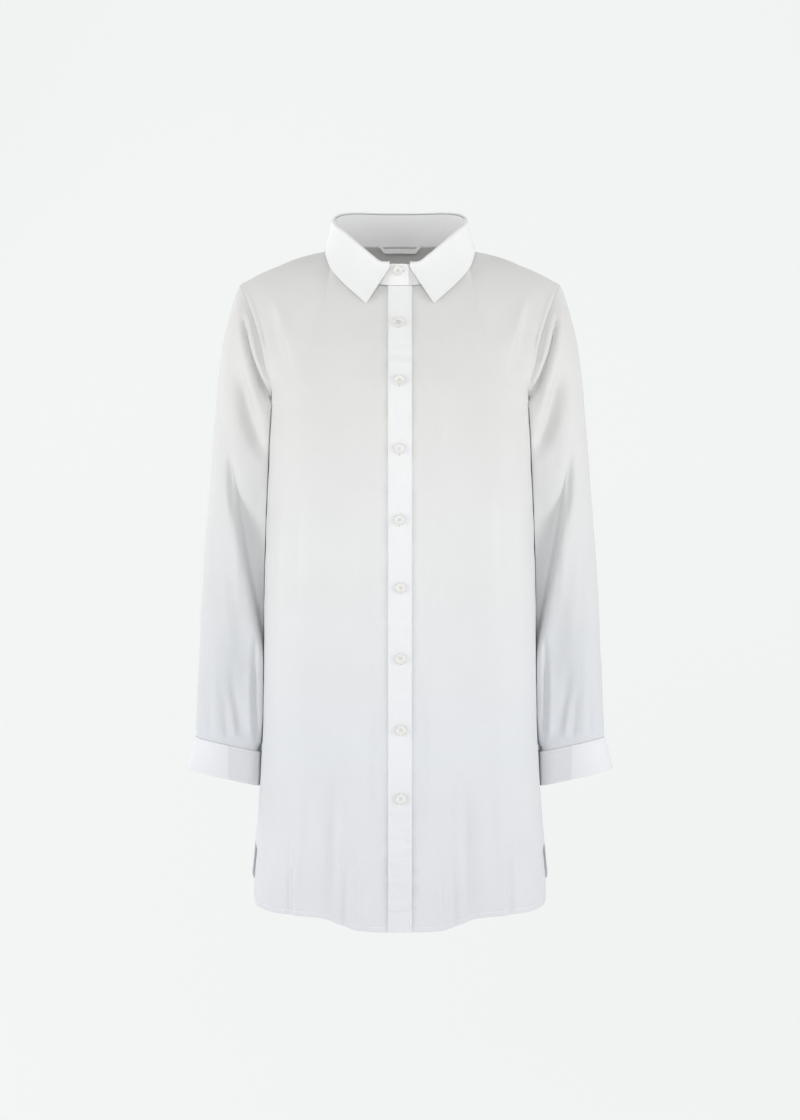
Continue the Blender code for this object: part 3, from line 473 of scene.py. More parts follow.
def grid_faces(rows, columns):
    index = np.arange(rows * columns).reshape(rows, columns)
    corners = [index[:-1, :-1], index[:-1, 1:], index[1:, 1:], index[1:, :-1]]
    return np.stack(corners, -1).reshape(-1, 4)


def shell(name, points, out, thickness, material, extra=None, closed=False):
    """A thin closed shell along a grid of points. out is 1 or -1, the side its normals take, and extra is
    the added height of its outer face."""
    if closed:
        points = np.concatenate([points, points[:, :1]], 1)
        extra = None if extra is None else np.concatenate([extra, extra[:, :1]], 1)
    normals = grid_normals(points, False) * out
    if closed:
        seam = unit(normals[:, 0] + normals[:, -1])
        normals[:, 0], normals[:, -1] = seam, seam
    rows, columns = points.shape[:2]
    count = rows * columns
    lift = thickness / 2 + (0 if extra is None else extra)
    outer = points + normals * np.broadcast_to(lift, points.shape[:2])[..., None]
    inner = points - normals * thickness / 2
    uv = np.stack([arc(points, 1), arc(points, 0)], -1).reshape(-1, 2)
    faces = grid_faces(rows, columns)
    index = np.arange(count).reshape(rows, columns)
    if closed:
        runs = [index[0], index[-1, ::-1]]
    else:
        runs = [np.concatenate([index[0], index[1:, -1], index[-1, -2::-1], index[-2::-1, 0]])]
    rims = [np.stack([run[1:], run[:-1], count + run[:-1], count + run[1:]], -1) for run in runs]
    everything = np.concatenate([faces, count + faces[:, ::-1], *rims])
    if out > 0:
        everything = everything[:, ::-1]
    vertices = np.concatenate([outer.reshape(-1, 3), inner.reshape(-1, 3)])
    thing = mesh_object(name, vertices, everything.tolist(), material, np.concatenate([uv, uv]))
    if closed:
        weld(thing)
    attach(thing, name)
    return thing, outer, normals


def weld(thing):
    """Joins the two ends of a tube's wall."""
    mesh = bmesh.new()
    mesh.from_mesh(thing.data)
    bmesh.ops.remove_doubles(mesh, verts=mesh.verts, dist=1e-6)
    mesh.to_mesh(thing.data)
    mesh.free()


# Materials

class Graph:
    """The nodes of one material."""

    def __init__(self, name, inputs):
        self.material = bpy.data.materials.new(name)
        self.material.use_nodes = True
        self.tree = self.material.node_tree
        self.shader = self.tree.nodes["Principled BSDF"]
        self.fill(self.shader, inputs)

    def fill(self, node, inputs):
        """Gives each input of a node its value, or links it to the output given."""
        for key, value in inputs.items():
            if isinstance(value, bpy.types.NodeSocket):
                self.tree.links.new(value, node.inputs[key])
            else:
                node.inputs[key].default_value = value

    def add(self, kind, inputs=None, **settings):
        """Adds a node and returns its outputs."""
        node = self.tree.nodes.new("ShaderNode" + kind)
        for key, value in settings.items():
            setattr(node, key, value)
        self.fill(node, inputs or {})
        return node.outputs

    def math(self, operation, first, second=0.0):
        return self.add("Math", {0: first, 1: second}, operation=operation)[0]

    def ranged(self, value, **ends):
        """Maps a value from one range to another, whose ends are given by name."""
        named = {key.replace("_", " ").title(): end for key, end in ends.items()}
        return self.add("MapRange", {"Value": value, **named})["Result"]

    def tone(self, value, shade_tones):
        """Adds a ramp of painted shade over the height of the tones and returns its colour."""
        node = self.tree.nodes.new("ShaderNodeValToRGB")
        ramp_stops = node.color_ramp.elements
        for _ in range(len(shade_tones) - 2):
            ramp_stops.new(0.5)
        for stop, (height, color) in zip(ramp_stops, shade_tones):
            stop.position = (height - TONE_LOW) / (TONE_HIGH - TONE_LOW)
            stop.color = (*color, 1)
        self.fill(node, {"Fac": value})
        return node.outputs["Color"]


def cloth_material(name, shade_tones, roughness, slub, sheer, weave=0.35, shaded_inside_x=None):
    """Plain-weave cotton: threads both ways, thicker threads here and there, and painted shade, a tone that
    varies with height, each tone a height and a colour. Sheer is the share of light that comes through it."""
    sheen = {"Sheen Weight": 0.15, "Sheen Roughness": 0.5, "Specular IOR Level": 0.25}
    graph = Graph(name, {"Roughness": roughness, **sheen})
    add = graph.add
    place = add("TexCoord")
    parts = add("SeparateXYZ", {0: place["Object"]})
    # Painted shade: the colour darkens and lightens with height.
    tone = graph.tone(graph.ranged(parts["Z"], from_min=TONE_LOW, from_max=TONE_HIGH), shade_tones)
    streaks = []
    for scale in ((60, 2200, 1), (2200, 60, 1)):
        turned = add("Mapping", {"Vector": place["UV"], "Scale": scale})[0]
        noise = add("TexNoise", {"Vector": turned, "Scale": 1.0, "Detail": 2.0, "Roughness": 0.6})["Fac"]
        streaks.append(graph.ranged(noise, from_min=0.56, from_max=0.78))
    both = graph.math("ADD", *streaks)
    amount = graph.math("MULTIPLY", both, slub)
    lighter = {"Factor": amount, "A": tone, "B": (0.97, 0.97, 0.96, 1)}
    color = add("Mix", lighter, data_type="RGBA")["Result"]
    patches = add("TexNoise", {"Vector": place["Object"], "Scale": 14.0, "Detail": 3.0})["Fac"]
    share = graph.ranged(patches, to_min=0.965, to_max=1.02)
    # Painted shade: a cuff is darker on its inner side, beside the body.
    if shaded_inside_x:
        size = graph.math("ABSOLUTE", parts["X"])
        start, end = shaded_inside_x - 0.0012, shaded_inside_x + 0.0012
        share = graph.math("MULTIPLY", graph.ranged(size, from_min=start, from_max=end, to_min=0.90), share)
    color = add("VectorMath", {0: color, "Scale": share}, operation="SCALE")["Vector"]
    wave = {"Vector": place["UV"], "Scale": 700.0, "Distortion": 0.6}
    waves = [add("TexWave", wave, bands_direction=way)["Fac"] for way in "XY"]
    woven = graph.math("MAXIMUM", *waves)
    fine = add("Bump", {"Height": woven, "Strength": weave, "Distance": 0.00006})["Normal"]
    facing = add("Bump", {"Height": both, "Normal": fine, "Strength": 0.5, "Distance": 0.00016})["Normal"]
    graph.fill(graph.shader, {"Base Color": color, "Normal": facing})
    through = add("BsdfTranslucent", {"Color": color, "Normal": facing})[0]
    both_ways = add("MixShader", {"Fac": sheer, 1: graph.shader.outputs[0], 2: through})[0]
    graph.fill(graph.tree.nodes["Material Output"], {"Surface": both_ways})
    return graph.material


def clouded(graph, dark, light, inputs):
    """Gives a material two colours mixed by noise, and returns the noise."""
    place = graph.add("TexCoord")["Object"]
    noise = graph.add("TexNoise", {"Vector": place, **inputs})["Fac"]
    colors = {"Factor": noise, "A": (*dark, 1), "B": (*light, 1)}
    graph.fill(graph.shader, {"Base Color": graph.add("Mix", colors, data_type="RGBA")["Result"]})
    return noise


def thread_material():
    graph = Graph("white_thread", {"Roughness": 0.55})
    clouded(graph, (0.86, 0.86, 0.85), (0.96, 0.96, 0.95), {"Scale": 900})
    return graph.material


def button_material():
    """Pale shell-like plastic with soft clouding and a polished face."""
    graph = Graph("button_shell", {"Coat Weight": 0.5, "Coat Roughness": 0.12})
    noise = clouded(graph, (0.66, 0.64, 0.60), (0.86, 0.85, 0.82), {"Scale": 240, "Distortion": 1.5})
    graph.fill(graph.shader, {"Roughness": graph.ranged(noise, to_min=0.22, to_max=0.36)})
    return graph.material


TONE_LOW, TONE_HIGH = -0.85, 0.05
# Painted shade on the body: darker on the upper chest and towards the hem than at the waist.
SHEER_SHADE_TONES = (
    (-0.82, (0.768, 0.763, 0.800)),
    (-0.62, (0.790, 0.800, 0.827)),
    (-0.38, (0.832, 0.832, 0.832)),
    (-0.20, (0.800, 0.795, 0.780)),
    (-0.05, (0.800, 0.795, 0.772)),
)
# Painted shade on the sleeves: darker towards the cuffs.
SLEEVE_SHADE_TONES = (
    (-0.62, (0.735, 0.745, 0.780)),
    (-0.48, (0.760, 0.770, 0.790)),
    (-0.32, (0.795, 0.795, 0.798)),
    (-0.20, (0.800, 0.795, 0.782)),
    (-0.05, (0.800, 0.795, 0.775)),
)
SHEER = cloth_material("sheer_cotton", SHEER_SHADE_TONES, 0.85, 0.16, 0.12)
BACK_SHEER = cloth_material("sheer_cotton_back", SHEER_SHADE_TONES, 0.85, 0.16, 0.20)
SLEEVE_SHEER = cloth_material("sheer_cotton_sleeve", SLEEVE_SHADE_TONES, 0.85, 0.26, 0.12)
# Painted shade on the collar, placket, cuffs and loop: darker towards the bottom.
FIRM_SHADE_TONES = (
    (-0.82, (0.75, 0.745, 0.78)),
    (-0.60, (0.81, 0.81, 0.835)),
    (-0.40, (0.835, 0.835, 0.85)),
    (-0.10, (0.865, 0.865, 0.865)),
    (0.00, (0.90, 0.90, 0.895)),
)
FIRM = cloth_material("layered_cotton", FIRM_SHADE_TONES, 0.8, 0.06, 0.04)
# The cuff also gets painted shade on its inner side, beside the body.
CUFF = cloth_material("cuff_cotton", FIRM_SHADE_TONES, 0.8, 0.06, 0.04, shaded_inside_x=0.2140)
THREAD = thread_material()
SHELL = button_material()


# Stitches

class Stitches:
    """Collects small raised threads along lines on the cloth, to be made as one object."""

    def __init__(self):
        self.vertices = []
        self.faces = []

    def bar(self, centre, along, across, up, length, width, height):
        """One thread, low at its ends."""
        start = len(self.vertices)
        for step, share in ((-0.5, 0.0), (-0.3, 1.0), (0.3, 1.0), (0.5, 0.0)):
            for side, rise in ((-1, 0.0), (-0.55, 1.0), (0.55, 1.0), (1, 0.0)):
                lift = up * height * (rise * (0.25 + 0.75 * share) - 0.25)
                self.vertices.append(centre + along * length * step + across * width / 2 * side + lift)
        for i in range(3):
            for j in range(3):
                a = start + i * 4 + j
                self.faces.append((a, a + 4, a + 5, a + 1))
            self.faces.append((start + i * 4, start + i * 4 + 3, start + i * 4 + 7, start + i * 4 + 4))
        self.faces.append((start, start + 1, start + 2, start + 3))
        self.faces.append((start + 15, start + 14, start + 13, start + 12))

    def line(self, points, normals, pitch=0.0029, length=0.0022, width=0.00042, height=0.00022):
        """Stitches of even length along a line."""
        distance = np.concatenate([[0], np.cumsum(np.linalg.norm(np.diff(points, axis=0), axis=-1))])
        at = np.arange(pitch / 2, distance[-1], pitch)

        def along_line(values, where):
            return np.stack([np.interp(where, distance, values[:, k]) for k in range(3)], -1)

        directions = unit(along_line(points, at + 0.0004) - along_line(points, at - 0.0004))
        for centre, along, up in zip(along_line(points, at), directions, unit(along_line(normals, at))):
            across = np.cross(up, along)
            self.bar(centre, along, across, up, length, width, height)

    def make(self, name):
        attach(mesh_object(name, self.vertices, self.faces, THREAD, None, 60))


seams = Stitches()


def line_beside(side, points, normals, distance):
    """The line at a distance from one side of a grid, just clear of it, and the line's normals."""
    if "column" in side:
        points, normals = points.swapaxes(0, 1), normals.swapaxes(0, 1)
    if "last" in side:
        points, normals = points[::-1], normals[::-1]
    along = arc(points, 0)
    line, up = [
        np.array([[np.interp(distance, run, column[:, k]) for k in range(3)] for run, column in pairs])
        for pairs in (zip(along.T, grid.swapaxes(0, 1)) for grid in (points, normals))
    ]
    return line + unit(up) * STITCH_LIFT, up


def sew(points, normals, *sides, start=0, end=None):
    """Sews along some sides of a grid, each line from one of its points to another."""
    for side in sides:
        line, up = line_beside(side, points, normals, EDGE_STITCH)
        seams.line(line[start:end], up[start:end])


# Body

def rises(steps):
    """Shares of the way up the armhole, closer together near the armpit."""
    return np.interp(np.linspace(0, 12, 12 * steps + 1), np.arange(13), ARMHOLE_RISES)


LOWER = spans(0, (13, 0.016), (150, 1))
UPPER = rises(6)


def vent_limit(height, back):
    hem = (BACK_HEM if back else FRONT_HEM)[-1].z
    z = hem + (ARMPIT_Z - hem) * np.minimum(height, 1)
    low = read(BACK_VENT if back else FRONT_VENT, "z", "angle", z)
    return np.where(height <= 1, low, 90.0) - 0.04


def panel(columns, back):
    """The grid of a body panel with its folds, and the extra height of its outer face."""
    rows = np.concatenate([LOWER, 1 + UPPER[1:]])
    drawn = (90 - vent_limit(rows, back))[:, None] * (np.abs(columns) / 90)[None, :] ** 3
    angles = columns[None, :] - np.sign(columns)[None, :] * drawn
    heights = np.broadcast_to(rows[:, None], angles.shape)
    base = body_base(angles, heights, back)
    normals = grid_normals(base, False) * (1 if back else -1)
    turn = np.abs(angles)
    above_armpit = heights - 1
    low_fade, high_fade = FOLD_FADE_DEG
    side_fade = low_fade - (low_fade - high_fade) * ease(above_armpit / 0.15)
    placket_fade = ease((turn - PLACKET_FADE_DEG[0]) / PLACKET_FADE_DEG[1] + back)
    fade = ease((90 - turn) / side_fade) * ease((2 - heights) / 0.25) * placket_fade
    lift = fold_height(BACK if back else FRONT, np.abs(base[..., 0]), base[..., 2]) * fade
    fade = ease((90 - turn) / CRUMPLE_FADE_DEG) * ease((2 - heights) / 0.1)
    lift = lift + crumple(base[..., 0], base[..., 2], BODY_CRUMPLE, 5 + back) * fade
    points = base + normals * lift[..., None]
    low, high = arc(points, 0), arc(points, 0, backward=True)
    sides = [arc(points, 1, backward=True)]
    if back:
        sides.append(arc(points, 1))
    extra = double_edge(low, HEM, HEM_RISE)
    below_vent = ease((VENT_TOP_Z - 0.004 - base[..., 2]) / 0.006)
    for side in sides:
        extra = np.maximum(extra, double_edge(side, HEM, HEM_RISE) * below_vent)
        extra = extra + ease(above_armpit / 0.02) * ARMHOLE_RIDGE * bell(side - 0.0030, 0.0026)
    shoulder = ease((turn - NECK_COLUMN_DEG) / 3)
    extra = extra + shoulder * SEAM_RIDGE * bell(high - 0.0030, 0.0022)
    return points, extra


def make_body():
    front, rear = np.linspace(0, 90, 98), np.linspace(0, 90, 77)
    start = SEAM_UNDER_PLACKET_DEG
    right = np.concatenate([[start], front[front > start + 0.2]])
    left = np.concatenate([[-start + 0.16, -1.7], front])
    both = np.concatenate([-rear[:0:-1], rear])
    for name, columns, out, material, flat in (
        ("front_right", right, 1, SHEER, (0.255, 0.845)),
        ("front_left", left, -1, SHEER, (0.275, 0.845)),
        ("back", both, 1, BACK_SHEER, (0.500, 0.855)),
    ):
        back = name == "back"
        points, extra = panel(columns, back)
        if name == "front_right":
            points = mirrored(points)
        thing, outer, normals = shell(name, points, out, BODY_CLOTH, material, extra)
        stitch_panel(outer, normals, back)


def stitch_panel(outer, normals, back):
    """The hem's and the vents' stitches on a body panel."""
    seams.line(*line_beside("first row", outer, normals, HEM_STITCH))
    for side in ("last column", "first column")[: 1 + back]:
        line, up = line_beside(side, outer, normals, HEM_STITCH)
        chosen = (line[:, 2] < VENT_TOP_Z + 0.004) & (arc(line[None], 1)[0] > HEM - 0.0012)
        seams.line(line[chosen], up[chosen])


def place_on_front(x, z):
    """The angle and height of the body's front surface where it is seen at x and z from the front."""
    target = np.array([x, z])
    guess = np.array([x * 300, 1.5 if z > ARMPIT_Z else 0.5])
    for _ in range(60):
        here = body_base(guess[0], guess[1], False)[[0, 2]]
        right = body_base(guess[0] + 0.01, guess[1], False)[[0, 2]]
        below = body_base(guess[0], guess[1] - 1e-4, False)[[0, 2]]
        jacobian = np.stack([(right - here) / 0.01, (here - below) / 1e-4], 1)
        step = np.linalg.solve(jacobian, target - here)
        guess = np.clip(guess + np.clip(step, (-6, -0.1), (6, 0.1)), (-89.9, 0.01), (89.9, 1.999))
    return guess


def front_spot(x, z):
    """The point and normal of the front surface without its folds where it is seen at x and z."""
    angle, height = place_on_front(x, z)
    point = body_base(angle, height, False)
    across = body_base(angle + 0.05, height, False) - body_base(angle - 0.05, height, False)
    up = body_base(angle, height + 1e-4, False) - body_base(angle, height - 1e-4, False)
    return point, unit(np.cross(across, up)), unit(up)


def make_placket():
    rows = spans(0, (420, 1), (120, 2))
    offsets = spans(-1, (7, -0.8), (15, 0.8), (7, 1)) * PLACKET_HALF_WIDTH
    heights = np.broadcast_to(rows[:, None], (len(rows), len(offsets)))
    angles = np.zeros(heights.shape)
    for _ in range(6):
        reached = body_base(angles, heights, False)[..., 0]
        rate = (body_base(angles + 0.1, heights, False)[..., 0] - reached) / 0.1
        angles = angles + (offsets[None, :] - reached) / rate
    base = body_base(angles, heights, False)
    normals = -grid_normals(base, False)
    lift = PLACKET_LIFT + crumple(base[..., 0] * 1.5, base[..., 2], PLACKET_CRUMPLE, 3)
    for ripple in PLACKET_RIPPLES:
        away = base[..., 2] - ripple.z - ripple.tilt * base[..., 0]
        lift = lift + ripple.height * bell(away, ripple.half_length)
    points = base + normals * lift[..., None]
    points[-1] -= unit(points[-1] - points[-2]) * PLACKET_SHORT
    near = np.minimum(arc(points, 1), arc(points, 1, backward=True))
    extra = sewn_edge(near, 0.00025, 0.00022, 0.0008, 0.0005)
    thing, outer, up = shell("placket", points, -1, PLACKET_CLOTH, FIRM, extra)
    sew(outer, up, "first column", "last column")


# Sleeves

def ring_points(row, degrees):
    """A ring of the sleeve, by angle from its innermost point, the front first."""
    inner = np.cos(np.radians(degrees)) > 0
    front = np.sin(np.radians(degrees)) > 0
    inner_squareness = np.where(front, FRONT_INNER_SQUARENESS, INNER_SQUARENESS)
    across, along = rounded(degrees, np.where(inner, inner_squareness, OUTER_SQUARENESS))
    x = (row.x_out + row.x_in) / 2 - (row.x_out - row.x_in) / 2 * along
    z = (row.z_out + row.z_in) / 2 - (row.z_out - row.z_in) / 2 * along
    return np.stack([x, row.y_mid - row.half_depth * across, z], -1)


def sleeve_ring(station):
    return Ring(station, *(float(read(SLEEVE, "station", column, station)) for column in Ring._fields[1:]))


def beside_body(points):
    """Keeps the sleeve, below the armpit, clear of the body's side that it lies against."""
    x, y, z = np.moveaxis(points, -1, 0)
    depth = np.where(y > 0, read(BODY, "z", "back", z), read(BODY, "z", "front", z))
    share = np.minimum(np.abs(y) / depth, 1)
    side = read(BODY, "z", "half_width", z) * (1 - share**SQUARENESS) ** (1 / SQUARENESS) + BESIDE_BODY
    blend = np.clip(1 - np.abs(x - side) / BESIDE_SOFTNESS, 0, 1)
    clear = np.maximum(x, side) + blend**2 * BESIDE_SOFTNESS / 4
    below = ease((BESIDE_START_Z - z) / BESIDE_SPAN)
    return np.stack([x + (clear - x) * below, y, z], -1)


def sleeve_grid():
    rise = rises(11)
    front, rear = armhole_seam(rise, False), armhole_seam(rise, True)
    seam = np.concatenate([front, rear[-2:0:-1]])
    degrees = np.linspace(0, 360, len(seam), endpoint=False)
    sine, cosine = np.sin(np.radians(degrees)), np.cos(np.radians(degrees))
    stations = spans(0, (6, 0.02), (146, 0.955), (26, 1))
    base = np.stack([ring_points(sleeve_ring(s), degrees) for s in stations])
    reach = np.clip(1 - stations / SEAM_REACH, 0, 1)[:, None, None] ** 2
    hug = HUG * (ease(stations / 0.06) * ease((0.975 - stations) / 0.08))[:, None]
    base[..., 0] -= hug * ease((cosine - 0.30) / 0.45)
    points = beside_body(base + (seam - base[0]) * reach)
    points[0] += unit(points[1] - points[0]) * SEAM_GAP
    normals = grid_normals(points, closed=True)
    front_share = ease((90 - np.abs(degrees - 90)) / SLEEVE_SIDE_FADE_DEG)
    back_share = ease((90 - np.abs(degrees - 270)) / SLEEVE_SIDE_FADE_DEG)
    fade = (ease(stations / 0.03) * ease((1 - stations) / 0.03))[:, None]
    x, z = points[..., 0], points[..., 2]
    lift = fold_height(SLEEVE_FRONT, x, z) * front_share + fold_height(SLEEVE_BACK, x, z) * back_share
    lift = lift + crumple(sine * 0.06 + x, z, SLEEVE_CRUMPLE, 11)
    spread = np.where(stations < PUFF_STATION, PUFF_ABOVE, PUFF_BELOW)
    facing = ease(cosine / 0.5) * (sine > -0.3)
    normals = unit(normals + (np.array([0.0, -1.0, 0.0]) - normals) * facing[None, :, None])
    puff = CUFF_PUFF * bell(stations - PUFF_STATION, spread)[:, None]
    points = beside_body(points + normals * (lift * fade + puff)[..., None])
    return points, SEAM_RIDGE * bell(arc(points, 0) - 0.0022, 0.0018)


def cuff_base(count, shares):
    """The left cuff without its finer form: its angles, points and normals, and the lift of its overlap."""
    degrees = CUFF_CLOSING_DEG + np.linspace(-CUFF_LAP_DEG / 2, 360 + CUFF_LAP_DEG / 2, count)
    lift = CUFF_LIFT * ease((degrees - CUFF_CLOSING_DEG - 300) / 40)
    top, end = ring_points(CUFF_TOP, degrees), ring_points(CUFF_END, degrees)
    points = np.stack([top + (end - top) * share for share in shares])
    return degrees, points, grid_normals(points, closed=False), lift


def cuff_grid():
    """The left cuff, with its overlapping end at the back."""
    degrees, points, normals, lift = cuff_base(190, spans(0, (7, 0.08), (14, 0.92), (7, 1)))
    wobble = crumple(np.sin(np.radians(degrees))[None, :] * 0.05, points[..., 2], CUFF_CRUMPLE, 17)
    curl = CUFF_CURL * bell(arc(points, 0), 0.0016)
    points = points + normals * (lift[None, :] + wobble - curl)[..., None]
    return points, sewn_edge(nearest_edge(points), 0.0003, 0.00025)


def make_sleeves():
    sleeve, sleeve_extra = sleeve_grid()
    cuff, cuff_extra = cuff_grid()
    for side, out in (("left", 1), ("right", -1)):
        if side == "right":
            sleeve, cuff = mirrored(sleeve), mirrored(cuff)
        piece = ("sleeve_" + side, sleeve, out, SLEEVE_CLOTH, SLEEVE_SHEER, sleeve_extra, True)
        shell(*piece)[0]
        thing, outer, up = shell("cuff_" + side, cuff, out, CUFF_CLOTH, CUFF, cuff_extra)
        sew(outer, up, "first row", "last row", "last column")


# Collar

def band_point(degrees, share):
    """The collar band from its seam (0) to its fold (1). The end at angle 0 and below lies on the other."""
    seam = neck_ring(degrees) + np.array([0, 0, BAND_LIFT])
    point = seam + (neck_ring(degrees, fold=True) - seam) * np.asarray(share)[..., None]
    angle = np.radians(degrees)
    outward = np.stack([np.sin(angle), -np.cos(angle), 0 * angle], -1)
    lap = BAND_LAP * (1 - ease((degrees - 12) / 22))
    return point + outward * lap[..., None], outward


def fall_edge(row):
    """The outer edge of the fall for a row of its table."""
    if row.y is not None:
        return np.array([row.x, row.y, row.z])
    point, normal, _ = front_spot(row.x, row.z)
    return point + normal * FALL_LIFT


Edge = namedtuple("Edge", "angle x y z")


def fall_grid():
    """The collar's fall: a roll over the top of the band, then a leaf down to its outer edge."""
    edges = [Edge(row.angle, *fall_edge(row)) for row in FALL_EDGE]
    half = FALL_EDGE[0].angle
    degrees = spans(half, (8, half + 3), (240, 357 - half), (8, 360 - half))
    turn = 180 - np.abs(180 - degrees)
    edge = np.stack([read(edges, "angle", column, turn) for column in "xyz"], -1)
    edge[:, 0] *= np.where(degrees > 180, -1, 1)
    top, outward = band_point(degrees, np.ones(degrees.shape))
    up = np.array([0, 0, 1])
    roll = [top + outward * out + up * rise for out, rise in FALL_ROLL]
    shares = np.linspace(0, 1, 5)[1:]
    knots = np.stack(roll + [roll[3] + (edge - roll[3]) * share for share in shares])
    return mirrored(smooth_rows(knots, 6))


def smooth_rows(knots, steps):
    """A finer grid through the rows given, on a smooth curve along each column."""
    ends = np.concatenate([[2 * knots[0] - knots[1]], knots, [2 * knots[-1] - knots[-2]]])
    rows = []
    for k in range(1, len(ends) - 2):
        before, start, end, after = ends[k - 1 : k + 3]
        for share in np.linspace(0, 1, steps, endpoint=False):
            rows.append(hermite(start, (end - before) / 2, end, (after - start) / 2, share))
    rows.append(ends[-2])
    return np.stack(rows)


def make_collar():
    degrees = spans(-BAND_LAP_DEG, (14, -2), (220, 362), (14, 360 + BAND_LAP_DEG))
    from_end = np.radians(np.minimum(degrees + BAND_LAP_DEG, 360 + BAND_LAP_DEG - degrees)) * BAND_RADIUS
    inset = np.clip(BAND_CORNER - from_end, 0, BAND_CORNER)
    drop = (BAND_CORNER - np.sqrt(BAND_CORNER**2 - inset**2)) / BAND_HEIGHT
    shares = np.linspace(0, 1, 25)
    grid = np.stack([mirrored(band_point(degrees, (1 - drop) * share)[0]) for share in shares])
    extra = sewn_edge(nearest_edge(grid), 0.0, 0.00022)
    thing, outer, up = shell("collar_band", grid, 1, BAND_CLOTH, FIRM, extra)
    sew(outer, up, "first row")
    sew(outer, up, "first column", start=3, end=-3)

    grid = fall_grid()
    extra = sewn_edge(nearest_edge(grid, low=False), 0.0003, 0.00025)
    thing, outer, up = shell("collar_fall", grid, -1, FALL_CLOTH, FIRM, extra)
    sew(outer, up, "last row", start=5, end=-5)
    sew(outer, up, "first column", "last column", start=14, end=-2)

    shares = np.linspace(-1, 1, 61)
    droop = ease((1 - np.abs(shares)) / 0.28)
    seam = neck_ring(180 + np.degrees(np.arcsin(shares * LOOP_HALF_WIDTH / NECK_HALF_WIDTH)))
    inward = unit((seam - np.array([0, NECK_CENTRE_Y, 0])) * np.array([-1, -1, 0]))
    low = seam + inward * (SOLID_WALL + 2 * SOLID_GAP + 0.0005)
    low[:, 2] -= LOOP_DROOP * droop + LOOP_DROP
    grid = np.stack([low + np.array([0, 0, LOOP_TAPE * share]) for share in np.linspace(0, 1, 9)])
    thing, _, _ = shell("hanging_loop", grid, 1, LOOP_CLOTH, FIRM)


# Buttons

# From the middle of the back to the middle of the face, the shares of the radius and of the height
BUTTON_PROFILE = (
    (0.0, 0.0), (0.80, 0.0), (0.93, 0.05), (0.99, 0.22), (1.0, 0.42), (0.985, 0.68), (0.94, 0.90),
    (0.87, 0.99), (0.80, 0.97), (0.74, 0.86), (0.69, 0.74), (0.62, 0.69), (0.50, 0.68), (0.36, 0.66),
    (0.0, 0.64),
)
BUTTON_SEGMENTS = 48
HOLE_RADIUS = 0.00062
HOLE_REACH = 0.00145
SLIT_HALF_LENGTH = 0.0072
# Threads, each with its length, width and height
FACE_THREAD = (0.0030, 0.0003, 0.0005)
SHANK_THREAD = (0.0018, 0.0005, 0.0022)
SLIT_SIDE_THREAD = (0.0012, 0.00034, 0.0003)
SLIT_END_THREAD = (0.0011, 0.00055, 0.00035)


def linked(name, mesh):
    """An object in the scene made from a bmesh, which is freed."""
    data = bpy.data.meshes.new(name)
    mesh.to_mesh(data)
    mesh.free()
    thing = bpy.data.objects.new(name, data)
    bpy.context.scene.collection.objects.link(thing)
    return thing


def button_mesh():
    """A four-hole button, its back at z = 0. Returns its vertices and faces."""
    mesh = bmesh.new()
    rings = []
    for radius, height in BUTTON_PROFILE:
        ring = []
        for k in range(BUTTON_SEGMENTS if radius else 1):
            turn = 2 * math.pi * k / BUTTON_SEGMENTS
            r = radius * BUTTON_RADIUS
            ring.append(mesh.verts.new((r * math.cos(turn), r * math.sin(turn), height * BUTTON_HEIGHT)))
        rings.append(ring)
    for a, b in zip(rings[:-1], rings[1:]):
        for k in range(BUTTON_SEGMENTS):
            n = (k + 1) % BUTTON_SEGMENTS
            if len(a) == 1:
                mesh.faces.new((a[0], b[n], b[k]))
            elif len(b) == 1:
                mesh.faces.new((a[k], a[n], b[0]))
            else:
                mesh.faces.new((a[k], a[n], b[n], b[k]))
    body = linked("blank", mesh)
    drills = bmesh.new()
    for k in range(4):
        turn = math.pi / 4 + k * math.pi / 2
        size = {"radius1": HOLE_RADIUS, "radius2": HOLE_RADIUS, "depth": 0.01}
        made = bmesh.ops.create_cone(drills, cap_ends=True, segments=18, **size)
        shift = Vector((HOLE_REACH * math.cos(turn), HOLE_REACH * math.sin(turn), 0))
        bmesh.ops.translate(drills, verts=made["verts"], vec=shift)
    cutter = linked("drill", drills)
    cut = body.modifiers.new("holes", "BOOLEAN")
    cut.operation = "DIFFERENCE"
    cut.object = cutter
    cut.solver = "EXACT"
    bpy.context.view_layer.update()
    graph = bpy.context.evaluated_depsgraph_get()
    result = body.evaluated_get(graph).to_mesh()
    vertices = np.array([v.co[:] for v in result.vertices])
    faces = [tuple(p.vertices) for p in result.polygons]
    bpy.data.objects.remove(body)
    bpy.data.objects.remove(cutter)
    return vertices, faces


threads = Stitches()
buttonholes = Stitches()
slits = []


def place_button(name, form, point, normal, up, hole_along, hole_centre):
    """Sets a button on a surface point, sews it on, and works its buttonhole under it."""
    vertices, faces = form
    across = unit(np.cross(up, normal))
    up = np.cross(normal, across)
    turned = point + vertices[:, :1] * across + vertices[:, 1:2] * up + vertices[:, 2:] * normal
    attach(mesh_object(name, turned, faces, SHELL, None, 35), name)
    reach = HOLE_REACH / math.sqrt(2)
    for side in (-1, 1):
        for nudge in (-0.00018, 0.00018):
            centre = point + across * (side * reach + nudge) + normal * BUTTON_HEIGHT * 0.70
            threads.bar(centre, up, across, normal, *FACE_THREAD)
            side_on = point + across * (side * reach + nudge) - normal * 0.0003
            threads.bar(side_on, up, across, normal, *SHANK_THREAD)
    work_buttonhole(point, normal, across, up, hole_along, hole_centre)


